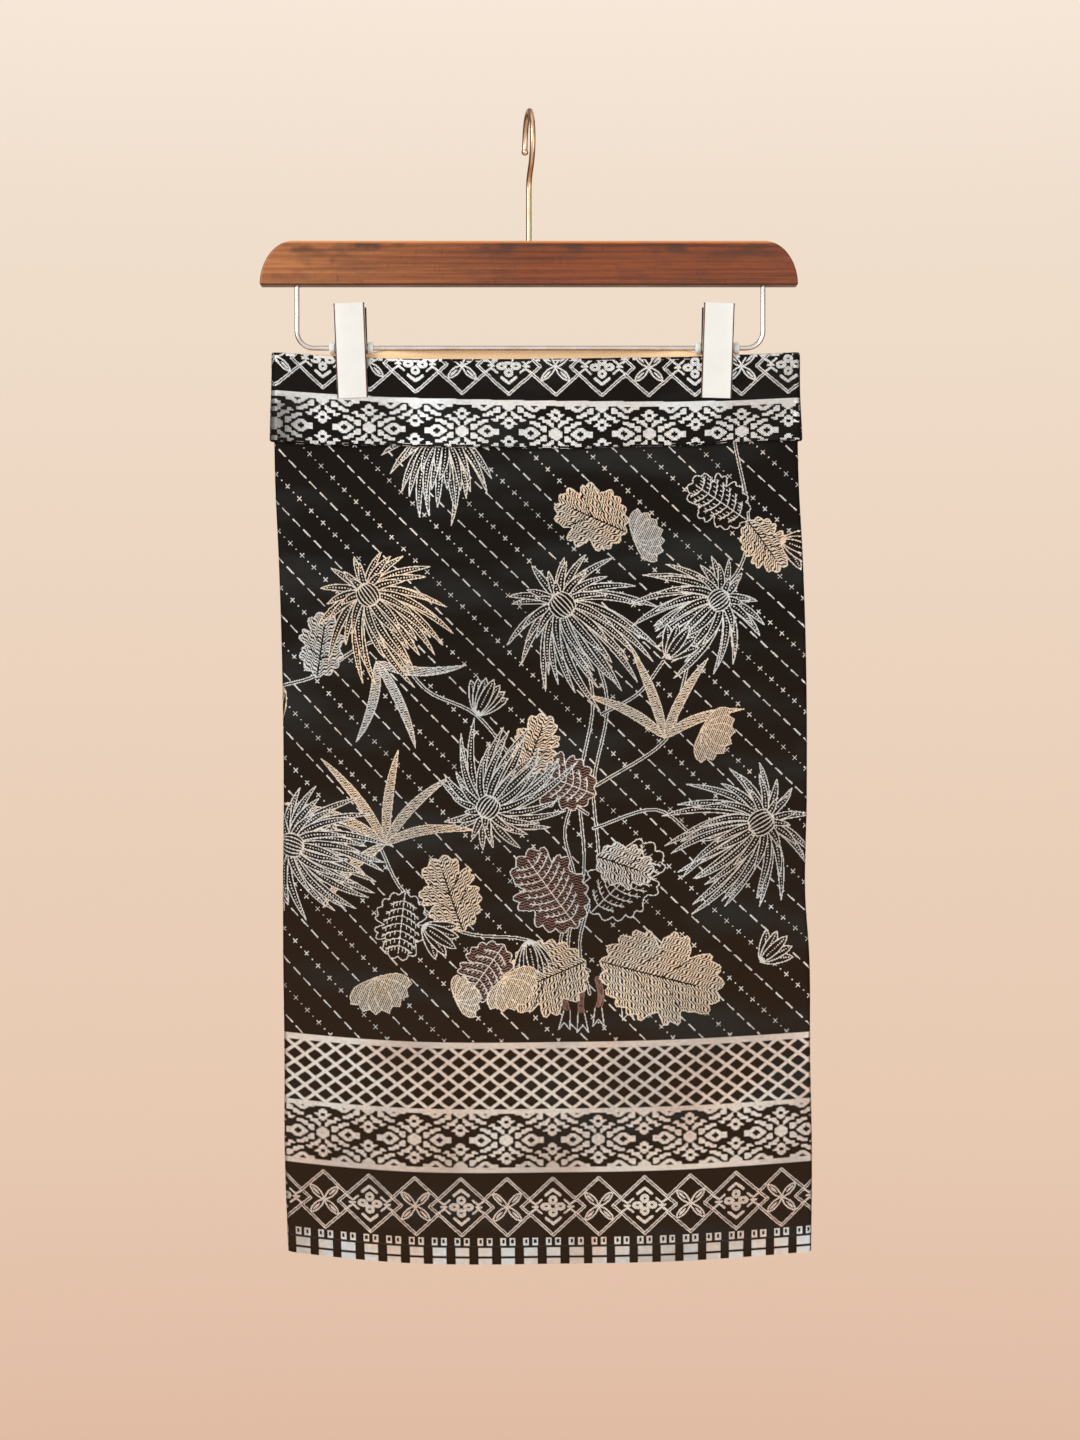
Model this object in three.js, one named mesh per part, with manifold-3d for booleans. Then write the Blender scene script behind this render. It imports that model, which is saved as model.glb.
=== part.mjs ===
// A pre-tied samping, the short sarong worn over trousers with a baju Melayu,
// clipped by its waist to a wooden clip hanger. The cloth is one flattened tube
// with a deep tuck round the waist, so it hangs as two nearly flat layers.
//
// Millimetres. +Z is up, the front faces -Y and +X is to the viewer's right.
// The origin is under the crown of the hook, where it rests on a rail.

import * as THREE from "three";
import { mergeVertices } from "three/addons/utils/BufferGeometryUtils.js";
import Module from "manifold-3d";

const wasm = await Module();
wasm.setup();

const { lerp, smoothstep, degToRad } = THREE.MathUtils;

// What touches keeps this much air.
const SEAT_GAP = 0.3;

// ---- Driving sizes of the hanger ----

const WOOD_LENGTH = 380;
const WOOD_HEIGHT = 31.3;
const WOOD_DEPTH = 13;
const WOOD_TOP = -90.2;
const WOOD_SHOULDER = 23.5; // run of the rounded upper corners
const WOOD_EDGE = 1.2; // softened edges

const HOOK_WIRE = 4;
const HOOK_RADIUS = 22; // to the middle of the wire
const HOOK_TIP_ANGLE = 186; // the throat ends level with the middle of the crown
const HOOK_SPINE_ANGLE = -50; // where the crown runs into the neck
const HOOK_NECK_DROP = 55; // the neck is back over the wood here
const HOOK_SEAT = 22; // how deep the stem stands in the wood
const HOOK_TURN = 7.5; // how far the hook's plane is turned from square
const HOOK_BALL = 5;

const BAR_WIRE = 3.4;
const BAR_LEFT = -164;
const BAR_RIGHT = 165.6;
const BAR_DROP = -165.3; // height of the straight length that the clips ride on
const BAR_BEND = 12;
const BAR_SEAT = 12; // how deep its ends stand in the wood

const CLIP_WIDTH = 21.8;
const CLIP_ABOVE = 30.2; // finger end, above the bar
const CLIP_BELOW = 35.8; // jaw end, below the bar
const CLIP_PLATE = 1.1;
const CLIP_SPLAY = 6; // lean of each plate, in degrees
const CLIP_FLANGE = 2; // depth of the turned-in sides
const CLIP_FLANGE_WALL = 0.9;
const EAR_RADIUS = 3.3;
const EAR_PLAY = 0.4; // the plates tilt a little on the bar
const SPRING_RADIUS = 3.05;
const SPRING_LENGTH = 15;
const BUSHING_RADIUS = 4.1;
const BUSHING_LENGTH = 4;

// Each clip's place on the bar, and how its jaw end swings to +X.
const CLIPS = [
  { name: "left", x: -125.5, swing: 2.0 },
  { name: "right", x: 133.2, swing: -1.6 },
];

// ---- Driving sizes of the cloth ----

const CLOTH_TOP = -168.6; // top edge at the side folds
const CLOTH_LENGTH = 635;
const SHELL_WALL = 1.2;
const CUFF_WALL = 1.6;
const CUFF_LENGTH = 62.5; // depth of the tuck below the top edge
const FACING_WALL = 1;
const FACING_LENGTH = 34;
const CLIP_PINCH = 2.7; // half depth of the tube between the jaws
const CLIP_PINCH_REACH = 18; // held flat this far to each side
const CLIP_PINCH_FADE = 55; // and free again this much further out
const CLIP_DIP = 2.8; // the back layer's edge is pushed down under the clips
const BACK_RISE = 1.6; // and stands this much higher between them
const SAG_SKEW = 0.22; // the lowest place is left of the middle

// Down the tube: distance below the top edge, sideways drift of its middle,
// half its flat width, radius of its side folds, how far the front and the
// back stand out in the middle, and how far the front sags there.
const SECTIONS = [
  { drop: 0, drift: 4.9, half: 184.9, fold: 3.6, front: 7.4, back: 6.8, sag: 5.4 },
  { drop: 90, drift: 5.7, half: 185.2, fold: 3.4, front: 8.2, back: 7.4, sag: 5.8 },
  { drop: 147, drift: 8.5, half: 185.4, fold: 3.4, front: 8.4, back: 7.8, sag: 6.0 },
  { drop: 210, drift: 10.6, half: 185.4, fold: 3.4, front: 8.8, back: 8.2, sag: 6.2 },
  { drop: 316, drift: 11.6, half: 185.0, fold: 3.5, front: 9.2, back: 8.6, sag: 6.6 },
  { drop: 387, drift: 10.9, half: 184.8, fold: 3.5, front: 9.6, back: 9.0, sag: 6.9 },
  { drop: 422, drift: 12.2, half: 186.0, fold: 3.6, front: 9.8, back: 9.2, sag: 7.0 },
  { drop: 500, drift: 13.1, half: 185.9, fold: 3.7, front: 10.4, back: 9.6, sag: 7.3 },
  { drop: 564, drift: 13.8, half: 186.4, fold: 3.8, front: 11.0, back: 10.2, sag: 7.6 },
  { drop: 635, drift: 14.8, half: 184.9, fold: 4.0, front: 11.6, back: 10.8, sag: 7.9 },
];

// Soft folds that run down each layer, from one X at the top edge to another
// at the hem, standing out or in.
const SOFT_FOLDS = [
  { side: "front", xTop: -55, xHem: -90, width: 48, out: 2.4 },
  { side: "front", xTop: 30, xHem: 15, width: 40, out: -1.8 },
  { side: "front", xTop: 95, xHem: 115, width: 42, out: 2.0 },
  { side: "back", xTop: -80, xHem: -60, width: 50, out: 2.0 },
  { side: "back", xTop: 20, xHem: 40, width: 45, out: -1.6 },
  { side: "back", xTop: 110, xHem: 90, width: 45, out: 1.8 },
];

// ---- Materials ----

const CLOTH = new THREE.MeshStandardMaterial({ color: 0x2c2622, roughness: 0.72 });
const CUFF_CLOTH = new THREE.MeshStandardMaterial({ color: 0x4a443d, roughness: 0.68 });
const FACING_CLOTH = new THREE.MeshStandardMaterial({ color: 0xe2b47c, roughness: 0.8 });
const WOOD = new THREE.MeshStandardMaterial({ color: 0x7a3f24, roughness: 0.38 });
const HOOK_METAL = new THREE.MeshStandardMaterial({ color: 0xd9b9a2, roughness: 0.2, metalness: 1 });
const BAR_METAL = new THREE.MeshStandardMaterial({ color: 0xd8cdc6, roughness: 0.2, metalness: 1 });
const CLIP_METAL = new THREE.MeshStandardMaterial({ color: 0xe9e4da, roughness: 0.32, metalness: 1 });
const SPRING_STEEL = new THREE.MeshStandardMaterial({ color: 0xb9b6b0, roughness: 0.3, metalness: 1 });
const WHITE_PLASTIC = new THREE.MeshStandardMaterial({ color: 0xf2efe8, roughness: 0.45 });

const samping = new THREE.Group();

function place(name, geometry, material, parent = samping) {
  const mesh = new THREE.Mesh(geometry, material);
  mesh.name = name;
  parent.add(mesh);
  return mesh;
}

// ---- Joining and cutting ----

function toManifold(geometry) {
  const bare = geometry.clone();
  bare.deleteAttribute("normal");
  bare.deleteAttribute("uv");
  const merged = mergeVertices(bare, 1e-4);
  return new wasm.Manifold(new wasm.Mesh({
    numProp: 3,
    vertProperties: new Float32Array(merged.attributes.position.array),
    triVerts: new Uint32Array(merged.index.array),
  }));
}

function toGeometry(manifold) {
  const mesh = manifold.getMesh();
  const geometry = new THREE.BufferGeometry();
  geometry.setAttribute("position", new THREE.BufferAttribute(mesh.vertProperties, 3));
  geometry.setIndex(new THREE.BufferAttribute(mesh.triVerts, 1));
  geometry.computeVertexNormals();
  return geometry;
}

function upright(radius, bottom, top, x, sides) {
  const rod = new THREE.CylinderGeometry(radius, radius, top - bottom, sides);
  rod.rotateX(Math.PI / 2);
  rod.translate(x, 0, (bottom + top) / 2);
  return toManifold(rod);
}

// A ring round the bar, along X.
function ring(inner, outer, length, x) {
  const half = length / 2;
  const outline = [
    new THREE.Vector2(inner, -half),
    new THREE.Vector2(outer, -half),
    new THREE.Vector2(outer, half),
    new THREE.Vector2(inner, half),
    new THREE.Vector2(inner, -half),
  ];
  const turned = new THREE.LatheGeometry(outline, 20);
  turned.rotateZ(-Math.PI / 2);
  turned.translate(x, 0, 0);
  return turned;
}

// Round wire swept along a curve.
function wire(curve, diameter, steps, sides) {
  const section = new THREE.Shape();
  section.absarc(0, 0, diameter / 2, 0, 2 * Math.PI);
  return new THREE.ExtrudeGeometry(section, { steps, extrudePath: curve, curveSegments: sides });
}

// ---- Wooden bar: one board with round shoulders and pointed lower corners ----

const WOOD_BOTTOM = WOOD_TOP - WOOD_HEIGHT;

function woodBar() {
  const half = WOOD_LENGTH / 2;
  const shoulder = half - WOOD_SHOULDER;
  const outline = new THREE.Shape();
  outline.moveTo(-half, WOOD_BOTTOM);
  outline.lineTo(half, WOOD_BOTTOM);
  outline.absellipse(shoulder, WOOD_BOTTOM, WOOD_SHOULDER, WOOD_HEIGHT, 0, Math.PI / 2);
  outline.lineTo(-shoulder, WOOD_TOP);
  outline.absellipse(-shoulder, WOOD_BOTTOM, WOOD_SHOULDER, WOOD_HEIGHT, Math.PI / 2, Math.PI);
  const board = new THREE.ExtrudeGeometry(outline, {
    depth: WOOD_DEPTH - 2 * WOOD_EDGE,
    bevelSize: WOOD_EDGE,
    bevelOffset: -WOOD_EDGE,
    bevelThickness: WOOD_EDGE,
    bevelSegments: 2,
    curveSegments: 8,
  });
  board.rotateX(Math.PI / 2);
  board.translate(0, WOOD_DEPTH / 2 - WOOD_EDGE, 0);
  const hookBore = HOOK_WIRE / 2 + SEAT_GAP;
  const barBore = BAR_WIRE / 2 + SEAT_GAP;
  const barBoreTop = WOOD_BOTTOM + BAR_SEAT + SEAT_GAP;
  return toGeometry(
    toManifold(board)
      .subtract(upright(hookBore, WOOD_TOP - HOOK_SEAT - SEAT_GAP, WOOD_TOP + 1, 0, 16))
      .subtract(upright(barBore, WOOD_BOTTOM - 1, barBoreTop, BAR_LEFT, 14))
      .subtract(upright(barBore, WOOD_BOTTOM - 1, barBoreTop, BAR_RIGHT, 14)),
  );
}

// ---- Hook: crown, S-shaped neck and stem of one wire, with a ball at its tip ----

const HOOK_CENTRE = HOOK_WIRE / 2 - HOOK_RADIUS;

// A point of the hook's own plane, `out` towards its spine.
function hookPoint(out, z) {
  const turn = degToRad(HOOK_TURN);
  return new THREE.Vector3(out * Math.sin(turn), -out * Math.cos(turn), z);
}

function crownPoint(angle) {
  const a = degToRad(angle);
  return hookPoint(HOOK_RADIUS * Math.cos(a), HOOK_CENTRE + HOOK_RADIUS * Math.sin(a));
}

class Crown extends THREE.Curve {
  getPoint(t, target = new THREE.Vector3()) {
    return target.copy(crownPoint(lerp(HOOK_TIP_ANGLE, HOOK_SPINE_ANGLE, t)));
  }
}

function hook() {
  const crownEnd = crownPoint(HOOK_SPINE_ANGLE);
  const heading = crownPoint(HOOK_SPINE_ANGLE - 1).sub(crownPoint(HOOK_SPINE_ANGLE)).normalize();
  const neckLength = 11; // how far the neck keeps each end's direction
  const neckFoot = hookPoint(0, -HOOK_NECK_DROP);
  const path = new THREE.CurvePath();
  path.add(new Crown());
  path.add(new THREE.CubicBezierCurve3(
    crownEnd,
    crownEnd.clone().addScaledVector(heading, neckLength),
    neckFoot.clone().add(new THREE.Vector3(0, 0, neckLength)),
    neckFoot,
  ));
  path.add(new THREE.LineCurve3(neckFoot, hookPoint(0, WOOD_TOP - HOOK_SEAT)));
  const rod = toManifold(wire(path, HOOK_WIRE, 46, 5));
  const ball = new THREE.SphereGeometry(HOOK_BALL / 2, 12, 8);
  const tip = crownPoint(HOOK_TIP_ANGLE);
  ball.translate(tip.x, tip.y, tip.z);
  return toGeometry(rod.add(toManifold(ball)));
}

// ---- Wire bar: one wire bent down from the wood, along and up again ----

class BarPath extends THREE.Curve {
  constructor() {
    super();
    const top = WOOD_BOTTOM + BAR_SEAT;
    const bendTop = BAR_DROP + BAR_BEND;
    this.path = new THREE.Path();
    this.path.moveTo(BAR_LEFT, top);
    this.path.lineTo(BAR_LEFT, bendTop);
    this.path.absarc(BAR_LEFT + BAR_BEND, bendTop, BAR_BEND, Math.PI, 1.5 * Math.PI);
    this.path.lineTo(BAR_RIGHT - BAR_BEND, BAR_DROP);
    this.path.absarc(BAR_RIGHT - BAR_BEND, bendTop, BAR_BEND, 1.5 * Math.PI, 2 * Math.PI);
    this.path.lineTo(BAR_RIGHT, top);
  }

  getPoint(t, target = new THREE.Vector3()) {
    const flat = this.path.getPointAt(t);
    return target.set(flat.x, 0, flat.y);
  }
}

// ---- Spring clips: two plates on the bar, a coil spring and a bushing each side ----

const CLIP_SLOPE = Math.tan(degToRad(CLIP_SPLAY));
// How far the outside of the cuff stands from the middle at the jaws.
const CUFF_FACE = SEAT_GAP / 2 + CLIP_PINCH + SEAT_GAP + CUFF_WALL;

// Inner face of a plate, at a height above the bar.
function plateInside(z) {
  return CUFF_FACE + SEAT_GAP + (z + CLIP_BELOW) * CLIP_SLOPE;
}

// One plate with its turned-in sides, which run out into ears round the bar.
// `facing` is -1 for the front plate and 1 for the back one, `inset` keeps the
// back plate's ears inside the front plate's.
function clipPlate(facing, inset) {
  const face = new THREE.Shape([
    new THREE.Vector2(plateInside(-CLIP_BELOW), -CLIP_BELOW),
    new THREE.Vector2(plateInside(-CLIP_BELOW) + CLIP_PLATE, -CLIP_BELOW),
    new THREE.Vector2(plateInside(CLIP_ABOVE) + CLIP_PLATE, CLIP_ABOVE),
    new THREE.Vector2(plateInside(CLIP_ABOVE), CLIP_ABOVE),
  ]);
  let plate = toManifold(acrossX(face, CLIP_WIDTH, 0, facing));
  const flangeTop = CLIP_ABOVE - 1;
  const flangeFoot = EAR_RADIUS + 3;
  const intoPlate = CLIP_PLATE / 2;
  const side = new THREE.Shape();
  side.moveTo(plateInside(-EAR_RADIUS) + intoPlate, -EAR_RADIUS);
  side.lineTo(plateInside(flangeTop) + intoPlate, flangeTop);
  side.lineTo(plateInside(flangeTop) - CLIP_FLANGE, flangeTop - CLIP_FLANGE);
  side.lineTo(plateInside(flangeFoot) - CLIP_FLANGE, flangeFoot);
  side.lineTo(0, EAR_RADIUS);
  side.absarc(0, 0, EAR_RADIUS, Math.PI / 2, 1.5 * Math.PI);
  const eye = new THREE.Path();
  eye.absarc(0, 0, BAR_WIRE / 2 + SEAT_GAP + EAR_PLAY, 0, 2 * Math.PI, true);
  side.holes.push(eye);
  const earX = (CLIP_WIDTH - CLIP_FLANGE_WALL) / 2 - inset;
  for (const x of [-earX, earX]) {
    plate = plate.add(toManifold(acrossX(side, CLIP_FLANGE_WALL, x, facing)));
  }
  return toGeometry(plate);
}

// A shape drawn in (distance from the middle, Z), given a thickness along X.
function acrossX(shape, thickness, x, facing) {
  const slab = new THREE.ExtrudeGeometry(shape, {
    depth: thickness,
    bevelEnabled: false,
    curveSegments: 6,
  });
  slab.translate(0, 0, -thickness / 2);
  const turned = new THREE.Matrix4().makeBasis(
    new THREE.Vector3(0, facing, 0),
    new THREE.Vector3(0, 0, 1),
    new THREE.Vector3(facing, 0, 0),
  );
  slab.applyMatrix4(turned);
  slab.translate(x, 0, 0);
  return slab;
}

function clip({ name, x, swing }) {
  const group = new THREE.Group();
  group.position.set(x, 0, BAR_DROP);
  samping.add(group);
  const jaws = new THREE.Group();
  jaws.rotation.y = -degToRad(swing);
  group.add(jaws);
  const earStep = CLIP_FLANGE_WALL + SEAT_GAP;
  const bore = BAR_WIRE / 2 + SEAT_GAP;
  place(`clip_${name}_front`, clipPlate(-1, 0), CLIP_METAL, jaws);
  place(`clip_${name}_back`, clipPlate(1, earStep), CLIP_METAL, jaws);
  place(`clip_${name}_spring`, ring(bore, SPRING_RADIUS, SPRING_LENGTH, 0), SPRING_STEEL, group);
  const beside = CLIP_WIDTH / 2 + 2 * SEAT_GAP + BUSHING_LENGTH / 2;
  const bushing = (end) => ring(bore, BUSHING_RADIUS, BUSHING_LENGTH, end * beside);
  place(`clip_${name}_bushing_a`, bushing(-1), WHITE_PLASTIC, group);
  place(`clip_${name}_bushing_b`, bushing(1), WHITE_PLASTIC, group);
}

// ---- The cloth's surface ----

// A layer is drawn by `across`, -1 at the left side fold and 1 at the right,
// and by `drop`, the distance below the top edge.
const FLAT_SHARE = 0.9; // the rest of `across` goes round the two folds
const FLAT_COLUMNS = 22;
const FOLD_COLUMNS = 3;

function sectionAt(drop) {
  const last = SECTIONS.length - 1;
  const below = SECTIONS.findIndex((row) => row.drop >= drop);
  const next = below < 1 ? (below < 0 ? last : 1) : below;
  const from = SECTIONS[next - 1];
  const to = SECTIONS[next];
  const share = (drop - from.drop) / (to.drop - from.drop);
  const mixed = {};
  for (const column of Object.keys(to)) {
    mixed[column] = lerp(from[column], to[column], share);
  }
  return mixed;
}

// 1 where a clip holds the cloth flat, down to 0 away from it.
function heldByClip(x, drop) {
  const away = Math.min(...CLIPS.map((one) => Math.abs(x - one.x)));
  const aside = 1 - smoothstep(away, CLIP_PINCH_REACH, CLIP_PINCH_REACH + CLIP_PINCH_FADE);
  return aside * (1 - smoothstep(drop, 45, 200));
}

function softFolds(side, x, drop) {
  let out = 0;
  for (const fold of SOFT_FOLDS.filter((one) => one.side === side)) {
    const middle = lerp(fold.xTop, fold.xHem, drop / CLOTH_LENGTH);
    out += fold.out * Math.exp(-(((x - middle) / fold.width) ** 2));
  }
  return out * smoothstep(drop, 0, 160);
}

// How far the layer stands out from the middle plane of the tube.
function depthAt(side, x, drop) {
  const row = sectionAt(drop);
  const reach = Math.min(Math.abs(x - row.drift) / (row.half - row.fold), 1);
  const free = lerp(row[side], row.fold, reach ** 2.4) + softFolds(side, x, drop) * (1 - reach ** 4);
  return lerp(free, CLIP_PINCH, heldByClip(x, drop));
}

// Height of the cloth: the front sags between the clips, the back hardly does.
function heightAt(side, x, drop) {
  const row = sectionAt(drop);
  const reach = THREE.MathUtils.clamp((x - row.drift) / row.half, -1, 1);
  if (side === "back") {
    const rise = BACK_RISE * (1 - reach ** 6);
    return CLOTH_TOP - drop + rise - CLIP_DIP * heldByClip(x, drop);
  }
  const skewed = reach + SAG_SKEW * (1 - Math.abs(reach));
  return CLOTH_TOP - drop - row.sag * (1 - Math.abs(skewed) ** 2.2);
}

// Outside of the shell, as X and distance in front of or behind the middle.
function sectionPoint(side, across, drop) {
  const row = sectionAt(drop);
  const flat = row.half - row.fold;
  const end = Math.sign(across);
  const turn = Math.max(Math.abs(across) - FLAT_SHARE, 0) / (1 - FLAT_SHARE) * Math.PI / 2;
  const x = turn > 0 ? row.drift + end * flat : row.drift + across / FLAT_SHARE * flat;
  const depth = depthAt(side, x, drop);
  return new THREE.Vector2(x + end * row.fold * Math.sin(turn), SEAT_GAP / 2 + depth * Math.cos(turn));
}

// The same place moved out by `offset`, square to the section.
function clothPoint(side, across, drop, offset) {
  const reach = 0.01;
  const here = sectionPoint(side, across, drop);
  const before = sectionPoint(side, Math.max(across - reach, -1), drop);
  const after = sectionPoint(side, Math.min(across + reach, 1), drop);
  const along = after.sub(before).normalize();
  const outward = Math.abs(across) === 1
    ? new THREE.Vector2(across, 0)
    : new THREE.Vector2(-along.y, along.x);
  here.addScaledVector(outward, offset);
  const facing = side === "front" ? -1 : 1;
  return new THREE.Vector3(here.x, facing * here.y, heightAt(side, here.x, drop));
}

function columns() {
  const list = [];
  for (let i = -FOLD_COLUMNS - FLAT_COLUMNS / 2; i <= FOLD_COLUMNS + FLAT_COLUMNS / 2; i += 1) {
    const flat = Math.min(Math.abs(i), FLAT_COLUMNS / 2) / (FLAT_COLUMNS / 2) * FLAT_SHARE;
    const round = Math.max(Math.abs(i) - FLAT_COLUMNS / 2, 0) / FOLD_COLUMNS * (1 - FLAT_SHARE);
    list.push(Math.sign(i) * (flat + round));
  }
  return list;
}

// Triangles that close the end of a layer, zipped between the outside of its
// outline, which comes first and ends at the lowest point, and the inside.
function endTriangles(outline) {
  const at = outline.map(({ offset, drop }) => new THREE.Vector2(offset, drop));
  const lowest = outline.reduce((best, point, i) => (point.drop > outline[best].drop ? i : best), 0);
  const triangles = [];
  let outside = 0;
  let inside = outline.length - 1;
  while (outside < lowest || inside > lowest + 1) {
    const stepOut = outside < lowest ? at[outside + 1].distanceTo(at[inside]) : Infinity;
    const stepIn = inside > lowest + 1 ? at[outside].distanceTo(at[inside - 1]) : Infinity;
    if (stepOut <= stepIn) {
      triangles.push([outside, outside + 1, inside]);
      outside += 1;
    } else {
      triangles.push([outside, inside - 1, inside]);
      inside -= 1;
    }
  }
  return triangles;
}

// One layer of cloth: a closed outline of {offset, drop} carried from fold to
// fold and closed at both ends.
function layer(side, outline) {
  const stations = columns();
  const count = outline.length;
  const positions = [];
  for (const across of stations) {
    for (const { offset, drop } of outline) {
      positions.push(...clothPoint(side, across, drop, offset).toArray());
    }
  }
  const triangles = [];
  const flip = side === "front";
  const add = (a, b, c) => triangles.push(...(flip ? [a, c, b] : [a, b, c]));
  for (let i = 0; i < stations.length - 1; i += 1) {
    for (let k = 0; k < count; k += 1) {
      const here = i * count + k;
      const next = i * count + (k + 1) % count;
      add(here, here + count, next);
      add(next, here + count, next + count);
    }
  }
  const lastColumn = (stations.length - 1) * count;
  for (const [a, b, c] of endTriangles(outline)) {
    add(a, b, c);
    add(lastColumn + a, lastColumn + c, lastColumn + b);
  }
  const geometry = new THREE.BufferGeometry();
  geometry.setAttribute("position", new THREE.Float32BufferAttribute(positions, 3));
  geometry.setIndex(triangles);
  geometry.computeVertexNormals();
  return geometry;
}

// Even steps down a layer.
function drops(from, to, count) {
  return Array.from({ length: count + 1 }, (_, i) => lerp(from, to, i / count));
}

// Outline of a plain wall between two offsets.
function wallOutline(inner, outer, from, to, count) {
  const down = drops(from, to, count);
  return [
    ...down.map((drop) => ({ offset: outer, drop })),
    ...down.reverse().map((drop) => ({ offset: inner, drop })),
  ];
}

// The tuck: outside wall, round lower fold, and a top edge that turns in over
// the shell and the facing.
function cuffOutline() {
  const outer = SEAT_GAP + CUFF_WALL;
  const inner = SEAT_GAP;
  const lip = -SHELL_WALL - SEAT_GAP - FACING_WALL;
  const round = CUFF_WALL / 2;
  const down = drops(CUFF_WALL, CUFF_LENGTH - round, 6);
  const foldMiddle = (inner + outer) / 2;
  const lowerFold = [45, 90, 135].map((angle) => ({
    offset: foldMiddle + round * Math.cos(degToRad(angle)),
    drop: CUFF_LENGTH - round + round * Math.sin(degToRad(angle)),
  }));
  return [
    { offset: lip, drop: 0.5 },
    { offset: lip + 0.6, drop: 0 },
    { offset: outer - 0.8, drop: 0 },
    { offset: outer, drop: 0.7 },
    ...down.map((drop) => ({ offset: outer, drop })),
    ...lowerFold,
    ...down.reverse().map((drop) => ({ offset: inner, drop })),
    { offset: lip, drop: CUFF_WALL },
  ];
}

const LAYERS_TOP = CUFF_WALL + SEAT_GAP; // shell and facing start under the turned edge
const FACING_OUTSIDE = -SHELL_WALL - SEAT_GAP;

// ---- Putting it together ----

place("wood_bar", woodBar(), WOOD);
place("hook", hook(), HOOK_METAL);
place("wire_bar", wire(new BarPath(), BAR_WIRE, 64, 4), BAR_METAL);
CLIPS.forEach(clip);

for (const side of ["front", "back"]) {
  const shell = wallOutline(-SHELL_WALL, 0, LAYERS_TOP, CLOTH_LENGTH, 20);
  const facing = wallOutline(
    FACING_OUTSIDE - FACING_WALL,
    FACING_OUTSIDE,
    LAYERS_TOP,
    FACING_LENGTH,
    2,
  );
  place(`skirt_${side}`, layer(side, shell), CLOTH);
  place(`cuff_${side}`, layer(side, cuffOutline()), CUFF_CLOTH);
  place(`facing_${side}`, layer(side, facing), FACING_CLOTH);
}

export default samping;
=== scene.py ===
import math

import bmesh
import bpy
import numpy as np
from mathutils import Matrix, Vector
from mathutils.geometry import delaunay_2d_cdt


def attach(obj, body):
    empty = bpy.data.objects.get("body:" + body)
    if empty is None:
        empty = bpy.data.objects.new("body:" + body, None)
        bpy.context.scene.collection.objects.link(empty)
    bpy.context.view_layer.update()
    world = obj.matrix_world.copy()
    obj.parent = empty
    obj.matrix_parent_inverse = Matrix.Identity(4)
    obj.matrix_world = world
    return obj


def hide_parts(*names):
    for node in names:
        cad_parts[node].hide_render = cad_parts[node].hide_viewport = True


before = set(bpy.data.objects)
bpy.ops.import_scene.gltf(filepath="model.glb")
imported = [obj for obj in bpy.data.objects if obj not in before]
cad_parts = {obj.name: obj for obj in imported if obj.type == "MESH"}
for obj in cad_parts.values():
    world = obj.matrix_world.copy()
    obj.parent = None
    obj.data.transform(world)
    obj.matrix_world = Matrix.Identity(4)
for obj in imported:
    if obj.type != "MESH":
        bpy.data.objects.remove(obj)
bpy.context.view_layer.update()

MM = 0.001

# ---------------------------------------------------------------- studio
# A plain pale studio: a soft cream backdrop that warms towards the floor, a
# wide key light from the upper left, and a camera square to the front.

VIEW_DISTANCE, SENSOR = 2000, 36
VIEW_HEIGHT = 1018.6  # what the frame takes in at the cloth
VIEW_CENTRE = (7.9, -428.3)
CLOTH_MIDDLE = (0, 0, -0.45)
LIGHT_COLOUR = (0.95, 0.98, 1.0)
LIGHTS = (  # name, place, size and power
    ("key", (-1.7, -1.8, 0.7), (1.4, 1.6), 38),
    ("fill", (1.6, -1.9, -0.5), (1.6, 1.8), 12),
    ("rim", (0.9, 1.7, 0.8), (1.2, 1.2), 8),
)
BACKDROP = (  # its colour by how steeply one looks up
    (-1.0, "cba891"), (-0.25, "e0bba4"), (-0.13, "e8cab2"), (0.0, "ebd2bc"),
    (0.18, "f0dfcd"), (0.25, "f8e8d9"), (1.0, "fffaf4"),
)
TOP_FLAGS = ((0, 1), (0.3, 1), (0.5, 0.3), (0.72, 0.75), (1, 1))  # steepness, light let through
SOFTBOX = (0.74, 0.72, 0.69, 1)
FLOOR_HEIGHT, FLOOR_RADIUS, FLOOR_SIDES = -1350, 1000, 96

scene = bpy.context.scene


def placed(name, data):
    """An object put in the scene."""
    thing = bpy.data.objects.new(name, data)
    scene.collection.objects.link(thing)
    return thing


camera = placed("camera", bpy.data.cameras.new("camera"))
camera.data.sensor_width = SENSOR
camera.data.lens = SENSOR * VIEW_DISTANCE / VIEW_HEIGHT
camera.location = (VIEW_CENTRE[0] * MM, -VIEW_DISTANCE * MM, VIEW_CENTRE[1] * MM)
camera.rotation_euler = (math.pi / 2, 0, 0)
scene.camera = camera
scene.view_settings.view_transform = "Standard"


def linear(hex_colour):
    """A hex colour as the renderer's linear RGBA."""
    channels = [int(hex_colour[i:i + 2], 16) / 255 for i in (0, 2, 4)]
    return *(c / 12.92 if c <= 0.04045 else ((c + 0.055) / 1.055) ** 2.4 for c in channels), 1


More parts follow.
